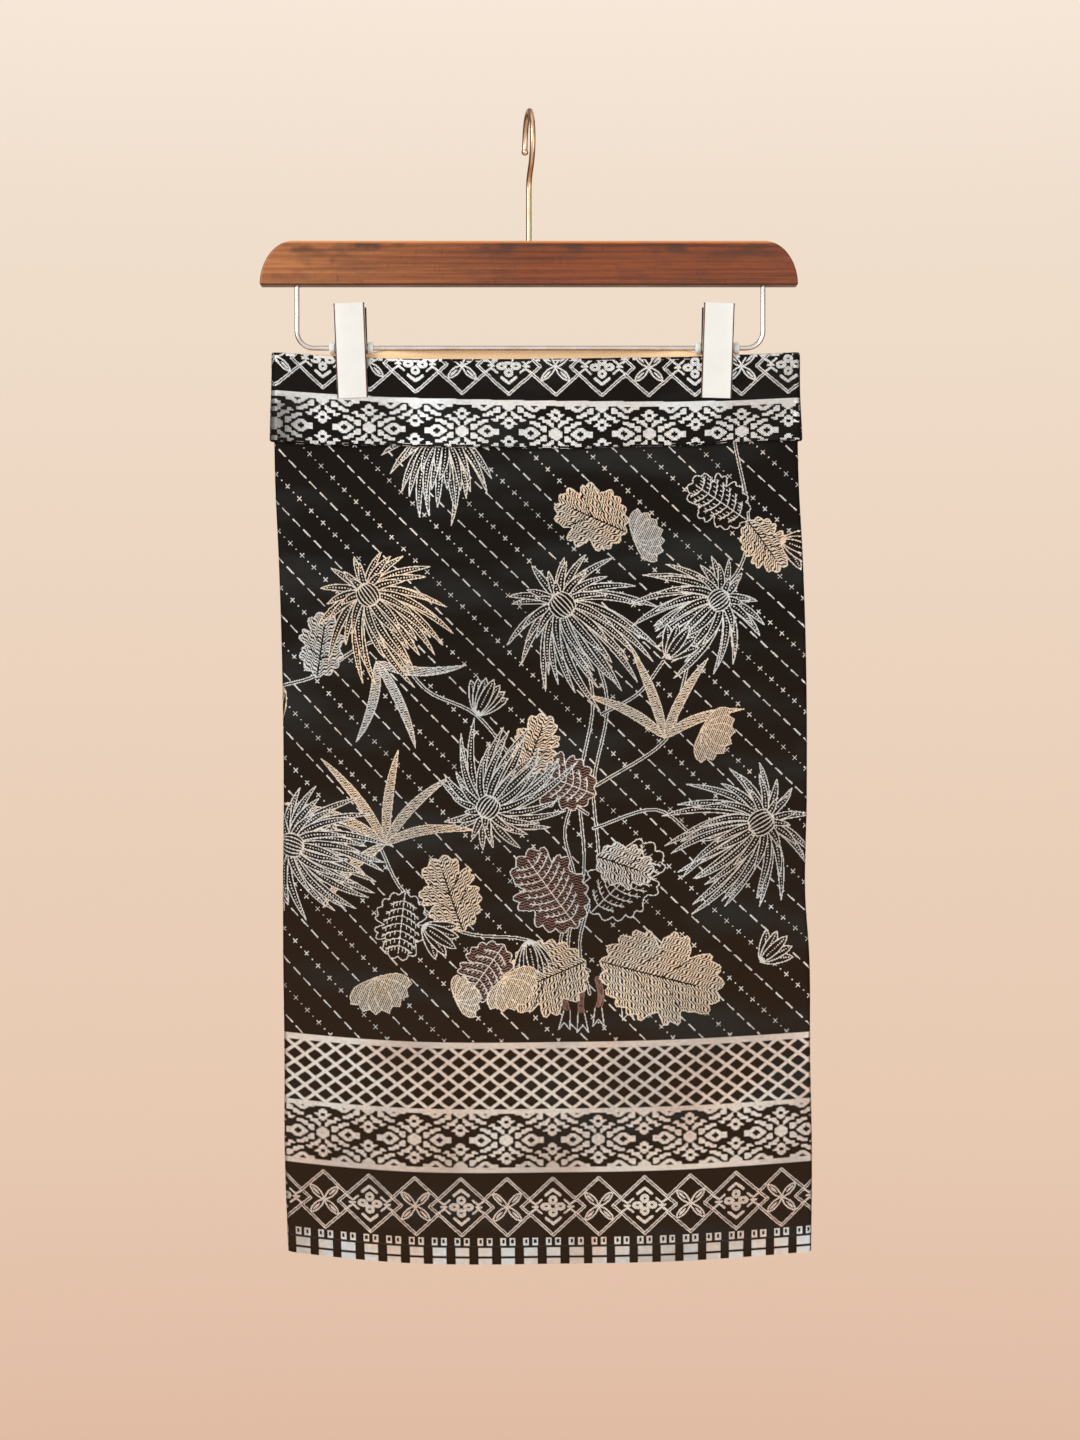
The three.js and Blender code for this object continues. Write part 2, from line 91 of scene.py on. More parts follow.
class Nodes:
    """A shader tree to build on. Each method adds a node and gives back what it
    puts out; a colour can be given in hex."""

    def __init__(self, tree):
        self.tree = tree

    def add(self, kind, settings=(), **inputs):
        """Any node, with its settings, and its inputs set or linked by name or,
        as i0, i1 and so on, by number."""
        node = self.tree.nodes.new("ShaderNode" + kind)
        for name, value in dict(settings).items():
            setattr(node, name, value)
        for name, value in inputs.items():
            number = name[1:]
            socket = node.inputs[int(number) if number.isdigit() else name.replace("_", " ")]
            if isinstance(value, bpy.types.NodeSocket):
                self.tree.links.new(value, socket)
            else:
                socket.default_value = linear(value) if isinstance(value, str) else value
        return node.outputs

    def maths(self, operation, *values):
        inputs = {f"i{k}": value for k, value in enumerate(values)}
        return self.add("Math", {"operation": operation}, **inputs)[0]

    def scaled(self, colour, amount):
        return self.add("VectorMath", {"operation": "SCALE"}, i0=colour, Scale=amount)[0]

    def blend(self, share, first, second):
        return self.add("Mix", {"data_type": "RGBA"}, i0=share, i6=first, i7=second)[2]

    def spread(self, value, low, high, to_low=0.0, to_high=1.0, kind="LINEAR"):
        """A value carried from one range to another."""
        ranges = {"i1": low, "i2": high, "i3": to_low, "i4": to_high}
        return self.add("MapRange", {"interpolation_type": kind}, i0=value, **ranges)[0]

    def ramp(self, value, stops):
        """A colour that follows a value through its stops."""
        node = self.add("ValToRGB", Fac=value)[0].node
        while len(node.color_ramp.elements) < len(stops):
            node.color_ramp.elements.new(0.5)
        for element, (position, colour) in zip(node.color_ramp.elements, stops):
            element.position, element.color = position, colour
        return node.outputs["Color"]

    def noise(self, place, scale, detail=2.0, stretch=None, slant=0, roughness=0.5):
        if stretch:
            turn = (0, 0, math.radians(slant))
            place = self.add("Mapping", i0=place, Rotation=turn, Scale=stretch)[0]
        return self.add(
            "TexNoise", Vector=place, Scale=scale, Detail=detail, Roughness=roughness
        )["Fac"]


class Finish(Nodes):
    """A material to build on, with its fixed shader values set."""

    def __init__(self, name, **values):
        self.material = bpy.data.materials.new(name)
        self.material.use_nodes = True
        super().__init__(self.material.node_tree)
        self.shader = self.tree.nodes["Principled BSDF"]
        for label, value in values.items():
            self.shader.inputs[label.replace("_", " ")].default_value = value

    def show(self, colour, roughness, height=None, strength=1.0, depth=0.0, **more):
        """The material, once its surface is linked; a height dents it by a
        depth in mm."""
        shown = {"Base Color": colour, "Roughness": roughness, **more}
        if height is not None:
            bump = self.add("Bump", Height=height, Strength=strength, Distance=depth * MM)
            shown["Normal"] = bump["Normal"]
        for label, socket in shown.items():
            self.tree.links.new(socket, self.shader.inputs[label])
        return self.material


world = bpy.data.worlds.new("studio")
scene.world = world
world.use_nodes = True
world.node_tree.nodes.clear()
sky = Nodes(world.node_tree)
steep = sky.add("SeparateXYZ", i0=sky.add("TexCoord")["Generated"])
stops = [((level + 1) / 2, linear(colour)) for level, colour in BACKDROP]
backdrop = sky.ramp(sky.spread(steep["Z"], -1, 1), stops)
side_flags = sky.spread(sky.maths("ABSOLUTE", steep["X"]), 0.38, 0.72, 1.0, 0.22, "SMOOTHSTEP")
stops = [(level, (light, light, light, 1)) for level, light in TOP_FLAGS]
top_flags = sky.ramp(sky.maths("ABSOLUTE", steep["Z"]), stops)
shaded = sky.scaled(backdrop, sky.maths("MULTIPLY", side_flags, top_flags))
lit = sky.blend(sky.spread(steep["Y"], -0.15, -0.7, kind="SMOOTHSTEP"), shaded, SOFTBOX)
seen = sky.blend(sky.add("LightPath")["Is Camera Ray"], lit, backdrop)
sky.add("OutputWorld", Surface=sky.add("Background", Color=seen)[0])

for name, place, size, power in LIGHTS:
    light = bpy.data.lights.new(name, "AREA")
    light.color = LIGHT_COLOUR
    light.shape = "RECTANGLE"
    light.size, light.size_y = size
    light.energy = power
    lamp = placed(name, light)
    lamp.location = place
    aim = Vector(CLOTH_MIDDLE) - Vector(place)
    lamp.rotation_euler = aim.to_track_quat("-Z", "Y").to_euler()
    lamp.visible_camera = False


def turning(steps, start=0.0, end=math.pi / 2):
    """Cosine and sine at equal steps of a turn."""
    return [(math.cos(a), math.sin(a)) for a in np.linspace(start, end, steps)]


def all_round(sides):
    return turning(sides + 1, 0, 2 * math.pi)[:-1]


rim = [
    (FLOOR_RADIUS * MM * cos, FLOOR_RADIUS * MM * sin, FLOOR_HEIGHT * MM)
    for cos, sin in all_round(FLOOR_SIDES)
]
floor_mesh = bpy.data.meshes.new("floor")
floor_mesh.from_pydata(rim, [], [range(FLOOR_SIDES)])
floor_paint = Finish("floor_paint", Base_Color=linear("e6d4c4"), Roughness=0.8)
floor_mesh.materials.append(floor_paint.material)
floor = placed("floor", floor_mesh)

# ------------------------------------------------------------ wooden board
# The hanger's board: one straight piece of reddish hardwood, 380 mm long, with
# round shoulders and pointed lower corners, sanded, stained and lacquered.

WOOD_LENGTH, WOOD_DEPTH = 380, 13
WOOD_TOP, WOOD_BOTTOM = -90.2, -121.5
WOOD_SHOULDER, WOOD_EDGE = 23.5, 1.5


def strips(rings, sides, closed=False):
    """Faces between rings of points: back to the first ring if closed, or else
    with a cap over each end."""
    faces = []
    for i in range(rings if closed else rings - 1):
        here, onward = i * sides, (i + 1) % rings * sides
        for k in range(sides):
            beside = (k + 1) % sides
            faces.append([here + k, here + beside, onward + beside, onward + k])
    if not closed:
        faces += [list(range(sides))[::-1], list(range((rings - 1) * sides, rings * sides))]
    return faces


def new_piece(name, points, faces, material, uvs=None):
    """A smooth-shaded mesh piece from points in mm, which rides on the one
    body. UVs are places on the cloth in mm, one for each corner of each face."""
    mesh = bpy.data.meshes.new(name)
    faces = faces.tolist() if isinstance(faces, np.ndarray) else faces
    mesh.from_pydata((np.asarray(points) * MM).tolist(), [], faces)
    mesh.materials.append(material)
    mesh.polygons.foreach_set("use_smooth", [True] * len(mesh.polygons))
    if uvs is not None:
        layer = mesh.uv_layers.new(name="cloth")
        layer.data.foreach_set("uv", np.asarray(uvs, np.float32).ravel())
    piece = placed(name, mesh)
    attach(piece, "root")
    return piece


def soft_edges(piece, width, segments):
    """Round a piece's sharp edges and keep its flat faces flat."""
    bevel = piece.modifiers.new("edges", "BEVEL")
    bevel.width = width * MM
    bevel.segments = segments
    bevel.limit_method = "ANGLE"
    bevel.angle_limit = math.radians(35)
    bevel.harden_normals = True


wood = Finish("lacquered_wood", Coat_Weight=0.22, Coat_Roughness=0.22, Specular_IOR_Level=0.3)
place = wood.add("TexCoord")["Object"]
split = wood.add("SeparateXYZ", i0=place)
grain, pores, stain, flecks = (
    wood.noise(place, 1.0, detail, stretch)
    for detail, stretch in (
        (5.0, (7, 260, 420)), (2.0, (90, 1600, 2100)), (5.0, (40, 60, 95)), (2.0, (420, 200, 120)),
    )
)
# Painted shade: the board's tone darkens towards its right end, as though lit from the left.
painted_shade_to_right = wood.spread(split["X"], -0.17, 0.0)
dark, light = wood.blend(painted_shade_to_right, "94532a", "622c16"), wood.blend(painted_shade_to_right, "bb7846", "8f4822")
tone = wood.blend(wood.spread(grain, 0.34, 0.66), dark, light)
near_top = wood.spread(split["Z"], -0.103, -0.0915, 0.3, 1.0)
stained = wood.maths("MULTIPLY", wood.spread(stain, 0.46, 0.62), near_top)
for mask, colour in (
    (stained, "4a2b1b"),
    (wood.spread(flecks, 0.62, 0.78, 0.0, 0.35), "301a12"),
    (wood.spread(split["Z"], -0.1195, -0.1213), "4b2412"),  # the lower edge: darker stain and painted shade
    (wood.spread(split["Z"], -0.0925, -0.0912), "de8a4e"),  # painted highlight along the top edge
):
    tone = wood.blend(mask, tone, colour)
tone = wood.scaled(tone, wood.spread(pores, 0.3, 0.7, 0.86, 1.1))
lacquered_wood = wood.show(tone, wood.spread(stain, 0.3, 0.7, 0.34, 0.5), pores, 0.35, 0.15)

shoulder_x = WOOD_LENGTH / 2 - WOOD_SHOULDER
shoulder = [
    (cos * WOOD_SHOULDER + shoulder_x, sin * (WOOD_TOP - WOOD_BOTTOM) + WOOD_BOTTOM)
    for cos, sin in turning(22)
]
board_outline = shoulder + [(-x, z) for x, z in reversed(shoulder)]
points = [(x, y, z) for y in (WOOD_DEPTH / 2, -WOOD_DEPTH / 2) for x, z in board_outline]
board = new_piece("hanger_board", points, strips(2, len(board_outline)), lacquered_wood)
soft_edges(board, WOOD_EDGE, 4)
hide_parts("wood_bar")

# ----------------------------------------------------------- hanger hook
# One 4 mm wire, copper-plated and polished: a crown that turns towards the
# front, an S-shaped neck, and a straight stem driven into the board. Its tip
# ends in a small ball.

HOOK_WIRE, HOOK_BALL, HOOK_RADIUS = 4, 5, 22
HOOK_TIP_ANGLE, HOOK_SPINE_ANGLE = 186, -50
HOOK_NECK_DROP, HOOK_NECK_REACH = 55, 11
HOOK_STEM_FOOT = WOOD_TOP - 18
HOOK_TURN = math.radians(7.5)


def unit(vector):
    return vector / np.linalg.norm(vector)


def rod(name, path, radius, material, sides, ball=0.0):
    """Round wire along a path of points; a ball of that radius closes its
    start."""
    path = np.asarray(path, float)
    heading = np.gradient(path, axis=0)
    heading /= np.linalg.norm(heading, axis=1, keepdims=True)
    start = np.array([0.0, 1.0, 0.0]) if abs(heading[0][1]) < 0.9 else np.array([1.0, 0.0, 0.0])
    aside = np.cross(heading[0], start)
    turn = np.linspace(0, 2 * math.pi, sides, endpoint=False)[:, None]
    rings = []
    for centre, ahead in zip(path, heading):
        aside = unit(aside - ahead * np.dot(aside, ahead))
        other = np.cross(ahead, aside)
        rings.append(centre + radius * (np.cos(turn) * aside + np.sin(turn) * other))
    if ball:
        first = (rings[0] - path[0]) / radius
        rings = [
            path[0] - heading[0] * ball * math.cos(a) + first * ball * math.sin(a)
            for a in np.linspace(0.12, math.pi * 0.8, 9)
        ] + rings
    return new_piece(name, np.concatenate(rings), strips(len(rings), sides), material)


def polished(name, colour, tint, rim, roughness):
    """Bare or plated metal: a slow tint, fine wiping marks and a darker rim
    where it is seen edge on, a painted reflection of dark surroundings."""
    metal = Finish(name, Metallic=1.0)
    place = metal.add("TexCoord")["Object"]
    slow, fine = metal.noise(place, 60.0), metal.noise(place, 260.0)
    tone = metal.blend(metal.spread(slow, 0.35, 0.65), colour, tint)
    # Painted reflection: seen edge on, the metal takes its rim colour, standing in for the dark
    # surroundings it would mirror.
    painted_edge_reflection = metal.spread(metal.add("LayerWeight", Blend=0.5)["Facing"], 0.2, 0.7)
    rough = metal.spread(fine, 0.3, 0.7, roughness * 0.8, roughness * 1.25)
    return metal.show(metal.blend(painted_edge_reflection, tone, rim), rough, fine, 0.03, 0.02)


def in_hook_plane(out, z):
    return np.array([out * math.sin(HOOK_TURN), -out * math.cos(HOOK_TURN), z])


def crown(angle):
    a = math.radians(angle)
    middle = HOOK_WIRE / 2 - HOOK_RADIUS
    return in_hook_plane(HOOK_RADIUS * math.cos(a), middle + HOOK_RADIUS * math.sin(a))


crown_end = crown(HOOK_SPINE_ANGLE)
crown_heading = unit(crown(HOOK_SPINE_ANGLE - 1) - crown_end)
neck_foot = in_hook_plane(0, -HOOK_NECK_DROP)
neck = (
    crown_end, crown_end + HOOK_NECK_REACH * crown_heading,
    neck_foot + np.array([0, 0, HOOK_NECK_REACH]), neck_foot,
)
hook_path = [crown(a) for a in np.linspace(HOOK_TIP_ANGLE, HOOK_SPINE_ANGLE, 60)]
for t in np.linspace(0, 1, 22)[1:]:
    weights = ((1 - t) ** 3, 3 * t * (1 - t) ** 2, 3 * t**2 * (1 - t), t**3)
    hook_path.append(sum(weight * point for weight, point in zip(weights, neck)))
hook_path += [in_hook_plane(0, z) for z in np.linspace(-HOOK_NECK_DROP, HOOK_STEM_FOOT, 12)[1:]]

copper_plate = polished("copper_plate", "f6d8b6", "ecc49c", "94603e", 0.3)
hook = rod("hanger_hook", hook_path, HOOK_WIRE / 2, copper_plate, 18, HOOK_BALL / 2)
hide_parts("hook")

# -------------------------------------------------------- clip wire bar
# One 3.4 mm chromed wire, bent down from the board at each end, along and up
# again. The clips slide on its straight length.

BAR_WIRE, BAR_BEND, BAR_DROP = 3.4, 12, -165.3
BAR_LEFT, BAR_RIGHT = -164, 165.6
BAR_INSERT = WOOD_BOTTOM + 10
bend_top = BAR_DROP + BAR_BEND
low_left, low_right = BAR_LEFT + BAR_BEND, BAR_RIGHT - BAR_BEND
bend = [(BAR_BEND * cos, BAR_BEND * sin) for cos, sin in turning(12)]
bar_path = [(BAR_LEFT, 0, z) for z in np.linspace(BAR_INSERT, bend_top, 8)[:-1]]
bar_path += [(low_left - back, 0, bend_top - down) for back, down in bend]
bar_path += [(x, 0, BAR_DROP) for x in np.linspace(low_left, low_right, 24)[1:-1]]
bar_path += [(low_right + on, 0, bend_top - down) for down, on in bend]
bar_path += [(BAR_RIGHT, 0, z) for z in np.linspace(bend_top, BAR_INSERT, 8)[1:]]
chrome = polished("chromed_wire", "f6f1ee", "eae0d9", "614a3d", 0.26)
wire_bar = rod("clip_wire_bar", bar_path, BAR_WIRE / 2, chrome, 18)
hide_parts("wire_bar")

# ---------------------------------------------------------- spring clips
# Two clips on the wire bar. Each has two pressed plates of satin nickel-plated
# steel, hinged on the bar by ears on their turned-in sides, a coil spring
# between them and a white plastic bushing on each side.

CLIPS = {"left": (-125.5, 2.0), "right": (133.2, -1.6)}  # X and swing in degrees
CLIP_WIDTH, CLIP_ABOVE, CLIP_BELOW = 21.8, 30.2, 35.8
CLIP_PLATE, CLIP_BEND, CLIP_JAW_BEND = 1.1, 1.3, 0.9
CLIP_SLOPE = math.tan(math.radians(6))
CLIP_FLANGE, FLANGE_WALL, FLANGE_OVERLAP = 2.0, 0.9, 0.4
EAR_RADIUS, EAR_EYE, EYE_STEPS = 3.3, 2.4, 20
JAW_FACE = 5.05  # inside of the plates at the jaws
SPRING_RADIUS, SPRING_LENGTH, SPRING_WIRE = 3.05, 15, 0.9
SPRING_TURNS, SPRING_LEG = 12, 13.0
BUSHING_RADIUS, BUSHING_LENGTH, BUSHING_BORE = 4.1, 4, 2.0
BUSHING_EASE, BUSHING_GAP, BUSHING_SIDES = 0.7, 0.6, 32

nickel = Finish("satin_nickel", Specular_IOR_Level=0.6)
coordinates = nickel.add("TexCoord")
sideways = nickel.add("SeparateXYZ", i0=coordinates["Normal"])["X"]
# Painted reflection: the plates' turned-in sides take a dark brown, standing in for the dark
# surroundings they mirror, and are made more metallic.
sides_with_painted_reflection = nickel.spread(nickel.maths("ABSOLUTE", sideways), 0.08, 0.34)
cloudy = nickel.noise(coordinates["Object"], 70.0)
brushed = nickel.noise(coordinates["Object"], 1.0, 2.0, (1500, 900, 90))
plated = nickel.blend(nickel.spread(cloudy, 0.3, 0.7), "f6f4ef", "f2efe9")
satin_nickel = nickel.show(
    nickel.blend(sides_with_painted_reflection, plated, "6a4c3d"), nickel.spread(brushed, 0.3, 0.7, 0.3, 0.42),
    brushed, 0.2, 0.03, Metallic=nickel.spread(sides_with_painted_reflection, 0.0, 1.0, 0.4, 0.95),
)
spring_steel = polished("spring_steel", "b9b6b0", "a29d95", "6b635b", 0.26)
plastic = Finish("white_plastic", Specular_IOR_Level=0.45, Subsurface_Weight=0.05)
cast = plastic.noise(plastic.add("TexCoord")["Object"], 500.0, 3.0)
tone = plastic.blend(plastic.spread(cast, 0.3, 0.7), "fdfbf7", "f4f1ea")
white_plastic = plastic.show(tone, plastic.spread(cast, 0.3, 0.7, 0.36, 0.5))


def plate_inside(z):
    return JAW_FACE + (z + CLIP_BELOW) * CLIP_SLOPE


def within(point, outline):
    inside = False
    for (y0, z0), (y1, z1) in zip(outline, outline[1:] + outline[:1]):
        if (z0 > point[1]) != (z1 > point[1]):
            inside ^= point[0] < y0 + (point[1] - z0) * (y1 - y0) / (z1 - z0)
    return inside


def clip_plate(facing, inset):
    """One plate with its turned-in sides and ears, in one mesh."""
    half = CLIP_WIDTH / 2
    bend = [(CLIP_BEND * sin, CLIP_BEND * cos) for cos, sin in turning(6)]
    edge = [(half - CLIP_BEND + x, y - CLIP_BEND) for x, y in bend]
    line = [(-x, y) for x, y in reversed(edge)] + edge
    levels = [-CLIP_BELOW, 0.3 - CLIP_BELOW]
    levels += [*np.linspace(3 - CLIP_BELOW, CLIP_ABOVE - 3, 12), CLIP_ABOVE]
    points = []
    for z in levels:
        outside = plate_inside(z) + CLIP_PLATE
        deep = CLIP_BEND if z > -EAR_RADIUS else CLIP_JAW_BEND
        row = [(x, outside + max(y, -deep)) for x, y in line]
        points += [(x, facing * y, z) for x, y in row]
        points += [
            (x * (half - FLANGE_WALL) / half, facing * (y - CLIP_PLATE * 0.9), z)
            for x, y in reversed(row)
        ]
    faces = strips(len(levels), 2 * len(line))

    # The two turned-in sides, running out into the ears round the bar.
    top, foot = CLIP_ABOVE - 1, EAR_RADIUS + 3
    outline = [
        (plate_inside(-EAR_RADIUS) + FLANGE_OVERLAP, -EAR_RADIUS),
        (plate_inside(top) + FLANGE_OVERLAP, top),
        (plate_inside(top) - CLIP_FLANGE, top - CLIP_FLANGE),
        (plate_inside(foot) - CLIP_FLANGE, foot),
    ]
    ear = turning(EYE_STEPS // 2 + 1, math.pi / 2, 1.5 * math.pi)
    outline += [(EAR_RADIUS * cos, EAR_RADIUS * sin) for cos, sin in ear]
    eye = [(EAR_EYE * cos, EAR_EYE * sin) for cos, sin in all_round(EYE_STEPS)]
    count, step = len(outline), len(outline) + EYE_STEPS
    edges = [(i, (i + 1) % count) for i in range(count)]
    edges += [(count + i, count + (i + 1) % EYE_STEPS) for i in range(EYE_STEPS)]
    flat = [Vector(place) for place in outline + eye]
    panes = []
    for pane in delaunay_2d_cdt(flat, edges, [], 0, 1e-6)[2]:
        centre = sum((flat[i] for i in pane), Vector((0, 0))) / len(pane)
        if centre.length >= EAR_EYE * 0.97 and within(centre, outline):
            panes.append(pane)
    for side in (-1, 1):
        first = len(points)
        middle = side * ((CLIP_WIDTH - FLANGE_WALL) / 2 - inset)
        for x in (middle - FLANGE_WALL / 2, middle + FLANGE_WALL / 2):
            points += [(x, facing * y, z) for y, z in outline + eye]
        faces += [[first + a, first + b, first + b + step, first + a + step] for a, b in edges]
        for pane in panes:
            faces += [[first + i for i in pane], [first + step + i for i in reversed(pane)]]
    return points, faces


def set_on_bar(points, x, swing=0.0):
    """Points of a clip turned by its swing and put at its place on the bar."""
    turn = -math.radians(swing)
    cos, sin = math.cos(turn), math.sin(turn)
    return [(x + px * cos + pz * sin, py, BAR_DROP - px * sin + pz * cos) for px, py, pz in points]


coil, spring_end = SPRING_RADIUS - SPRING_WIRE / 2, SPRING_LENGTH / 2 - 0.5
leg_y = plate_inside(SPRING_LEG) - SPRING_WIRE / 2 - 0.1
leg = [(coil + (leg_y - coil) * s, SPRING_LEG * s) for s in np.linspace(0, 1, 10)[1:]]
spring_path = [(-spring_end, -y, z) for y, z in reversed(leg)]
for t in np.linspace(0, 1, SPRING_TURNS * 14):
    a = math.pi + 2 * math.pi * (SPRING_TURNS - 0.5) * t
    spring_path.append(((t - 0.5) * 2 * spring_end, coil * math.cos(a), coil * math.sin(a)))
spring_path += [(spring_end, y, z) for y, z in leg]

half, rim = BUSHING_LENGTH / 2, BUSHING_RADIUS - BUSHING_EASE
profile = [(BUSHING_BORE, -half), (BUSHING_BORE, half)]
profile += [(rim + BUSHING_EASE * sin, half + BUSHING_EASE * (cos - 1)) for cos, sin in turning(5)]
profile += [(rim + BUSHING_EASE * cos, BUSHING_EASE * (1 - sin) - half) for cos, sin in turning(5)]
bushing_faces = strips(BUSHING_SIDES, len(profile), closed=True)

for side, (clip_x, swing) in CLIPS.items():
    for end, facing, inset in (("front", -1, 0), ("back", 1, FLANGE_WALL + 0.3)):
        points, faces = clip_plate(facing, inset)
        points = set_on_bar(points, clip_x, swing)
        plate = new_piece(f"clip_{side}_{end}_plate", points, faces, satin_nickel)
        plate_edit = bmesh.new()
        plate_edit.from_mesh(plate.data)
        bmesh.ops.recalc_face_normals(plate_edit, faces=plate_edit.faces)
        plate_edit.to_mesh(plate.data)
        plate_edit.free()
        soft_edges(plate, 0.22, 2)
        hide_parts(f"clip_{side}_{end}")
    path = set_on_bar(spring_path, clip_x)
    spring = rod(f"clip_{side}_coil_spring", path, SPRING_WIRE / 2, spring_steel, 8)
    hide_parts(f"clip_{side}_spring")
    for name, end in (("a", -1), ("b", 1)):
        middle = end * (CLIP_WIDTH / 2 + BUSHING_GAP + half)
        points = set_on_bar([
            (middle + along, radius * cos, radius * sin)
            for cos, sin in all_round(BUSHING_SIDES) for radius, along in profile
        ], clip_x)
        ring = f"clip_{side}_bushing_ring_{name}"
        bushing = new_piece(ring, points, bushing_faces, white_plastic)
        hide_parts(f"clip_{side}_bushing_{name}")

# ----------------------------------------------------------- samping shell
# The short sarong itself: one tube of black brocade, sewn up its back, that
# hangs flat from the clips with a soft fold down each side. Its hem is turned
# up inside and stitched.

SHELL_WALL = 1.2
CLOTH_TOP = -168.6  # top edge at the side folds
CLOTH_LENGTH = 635
HALF_ROUND = 374  # from the middle of the front to the middle of the back
UNDER_TUCK = 1.9  # the shell starts under the tuck's turned edge
HEM_TURN = 14
HEM_EXTRA = 1.0  # the turned-up layer thickens the hem inwards
SEAM_DENT, SEAM_RIDGE = 0.7, 0.35  # the sewn joint down the middle of the back
CLIP_PINCH = 2.7  # half depth of the tube between the jaws
CLIP_DIP = 2.8  # how far the back dips under a clip
CLIP_HOLD = (45, 200)  # down the cloth, where a clip's hold fades
BACK_RISE, BACK_LOW, SAG_SKEW = 4.6, -1.6, 0.22
CREASE_HEIGHT = 0.35
CLIP_PLACES = [place for place, swing in CLIPS.values()]

# Down the tube: distance below the top edge, sideways drift of its middle,
# half its flat width, radius of its side folds, how far the front and the
# back stand out in the middle, and how far the front sags there.
SECTIONS = {
    "drop": (0, 90, 147, 210, 316, 387, 422, 500, 564, 635),
    "drift": (4.9, 5.7, 8.5, 10.6, 11.6, 10.9, 12.2, 13.1, 13.8, 14.8),
    "half": (184.9, 185.2, 185.4, 185.4, 185.0, 184.8, 186.0, 185.9, 186.4, 184.9),
    "fold": (3.6, 3.4, 3.4, 3.4, 3.5, 3.5, 3.6, 3.7, 3.8, 4.0),
    "front": (7.4, 8.2, 8.4, 8.8, 9.2, 9.6, 9.8, 10.4, 11.0, 11.6),
    "back": (6.8, 7.4, 7.8, 8.2, 8.6, 9.0, 9.2, 9.6, 10.2, 10.8),
    "sag": (5.4, 5.8, 6.0, 6.2, 6.6, 6.9, 7.0, 7.3, 7.6, 7.9),
}

# Soft folds down each layer: X at the top edge and at the hem, half width and
# how far they stand out.
SOFT_FOLDS = {
    "front": ((-55, -90, 48, 2.4), (30, 15, 40, -1.8), (95, 115, 42, 2.0)),
    "back": ((-80, -60, 50, 2.0), (20, 40, 45, -1.6), (110, 90, 45, 1.8)),
}

# Shallow drag lines that leave the clips: start X, slope, half width, height.
DRAG_LINES = (
    (-118, 0.42, 7, 0.5), (-104, 0.85, 9, 0.45), (-138, -0.3, 7, 0.4),
    (126, -0.38, 7, 0.5), (112, -0.8, 9, 0.45), (146, 0.3, 7, 0.4),
)


def smooth(value, start, end):
    """0 before start, 1 after end, with a soft ramp between."""
    t = np.clip((value - start) / (end - start), 0, 1)
    return t * t * (3 - 2 * t)


def curved(t, start, end, leaving, arriving):
    """A place on the curve from start to end with these slopes."""
    return (
        (2 * t**3 - 3 * t**2 + 1) * start + (t**3 - 2 * t**2 + t) * leaving
        + (3 * t**2 - 2 * t**3) * end + (t**3 - t**2) * arriving
    )


def section(column, drop):
    """A column of SECTIONS at some distances down, curved through its rows."""
    at, values = np.array(SECTIONS["drop"], float), np.array(SECTIONS[column], float)
    slope = np.gradient(values, at)
    drop = np.clip(drop, at[0], at[-1])
    i = np.clip(np.searchsorted(at, drop) - 1, 0, len(at) - 2)
    step = at[i + 1] - at[i]
    leaving, arriving = step * slope[i], step * slope[i + 1]
    return curved((drop - at[i]) / step, values[i], values[i + 1], leaving, arriving)


def held_by_clip(x, drop, flat=18, fade=55):
    """1 where a clip holds the cloth flat, down to 0 away from it."""
    away = np.min([np.abs(x - place) for place in CLIP_PLACES], axis=0)
    return (1 - smooth(away, flat, flat + fade)) * (1 - smooth(drop, *CLIP_HOLD))


def stand_out(side, x, drop):
    """How far the layer stands out from the middle plane of the tube."""
    fold = section("fold", drop)
    reach = np.abs(x - section("drift", drop)) / (section("half", drop) - fold)
    reach = np.clip(reach, 0, 1)
    soft = np.zeros_like(x)
    for top, hem, width, out in SOFT_FOLDS[side]:
        middle = top + (hem - top) * drop / CLOTH_LENGTH
        soft += out * np.exp(-(((x - middle) / width) ** 2))
    soft *= smooth(drop, 0, 160)
    for start, slope, width, out in DRAG_LINES:
        along = smooth(drop, 40, 80) * (1 - smooth(drop, 120, 260))
        soft += out * along * np.exp(-(((x - start - slope * drop) / width) ** 2))
    creases = np.sin(x / 31 + drop / 47) * np.sin(drop / 39 - x / 83)
    soft += CREASE_HEIGHT * creases * smooth(drop, 60, 160)
    free = section(side, drop)
    free = free + (fold - free) * reach**2.4 + soft * (1 - reach**4)
    return free + (CLIP_PINCH - free) * held_by_clip(x, drop)


def hang_height(front, x, drop):
    """Height of the cloth: the front sags between the clips, the back rises."""
    reach = np.clip((x - section("drift", drop)) / section("half", drop), -1, 1)
    inner = 1 - np.abs(reach) ** 6
    dip = CLIP_DIP * held_by_clip(x, drop, 14, 14) * inner
    skewed = reach + SAG_SKEW * (1 - np.abs(reach))
    sag = section("sag", drop) * (1 - np.abs(skewed) ** 2.2)
    between = smooth(x, CLIP_PLACES[0] - 12, CLIP_PLACES[0] + 16)
    between = between * (1 - smooth(x, CLIP_PLACES[1] - 16, CLIP_PLACES[1] + 12))
    back = (BACK_LOW + BACK_RISE * between) * inner - dip * between
    return CLOTH_TOP - drop + np.where(front, -sag, back)


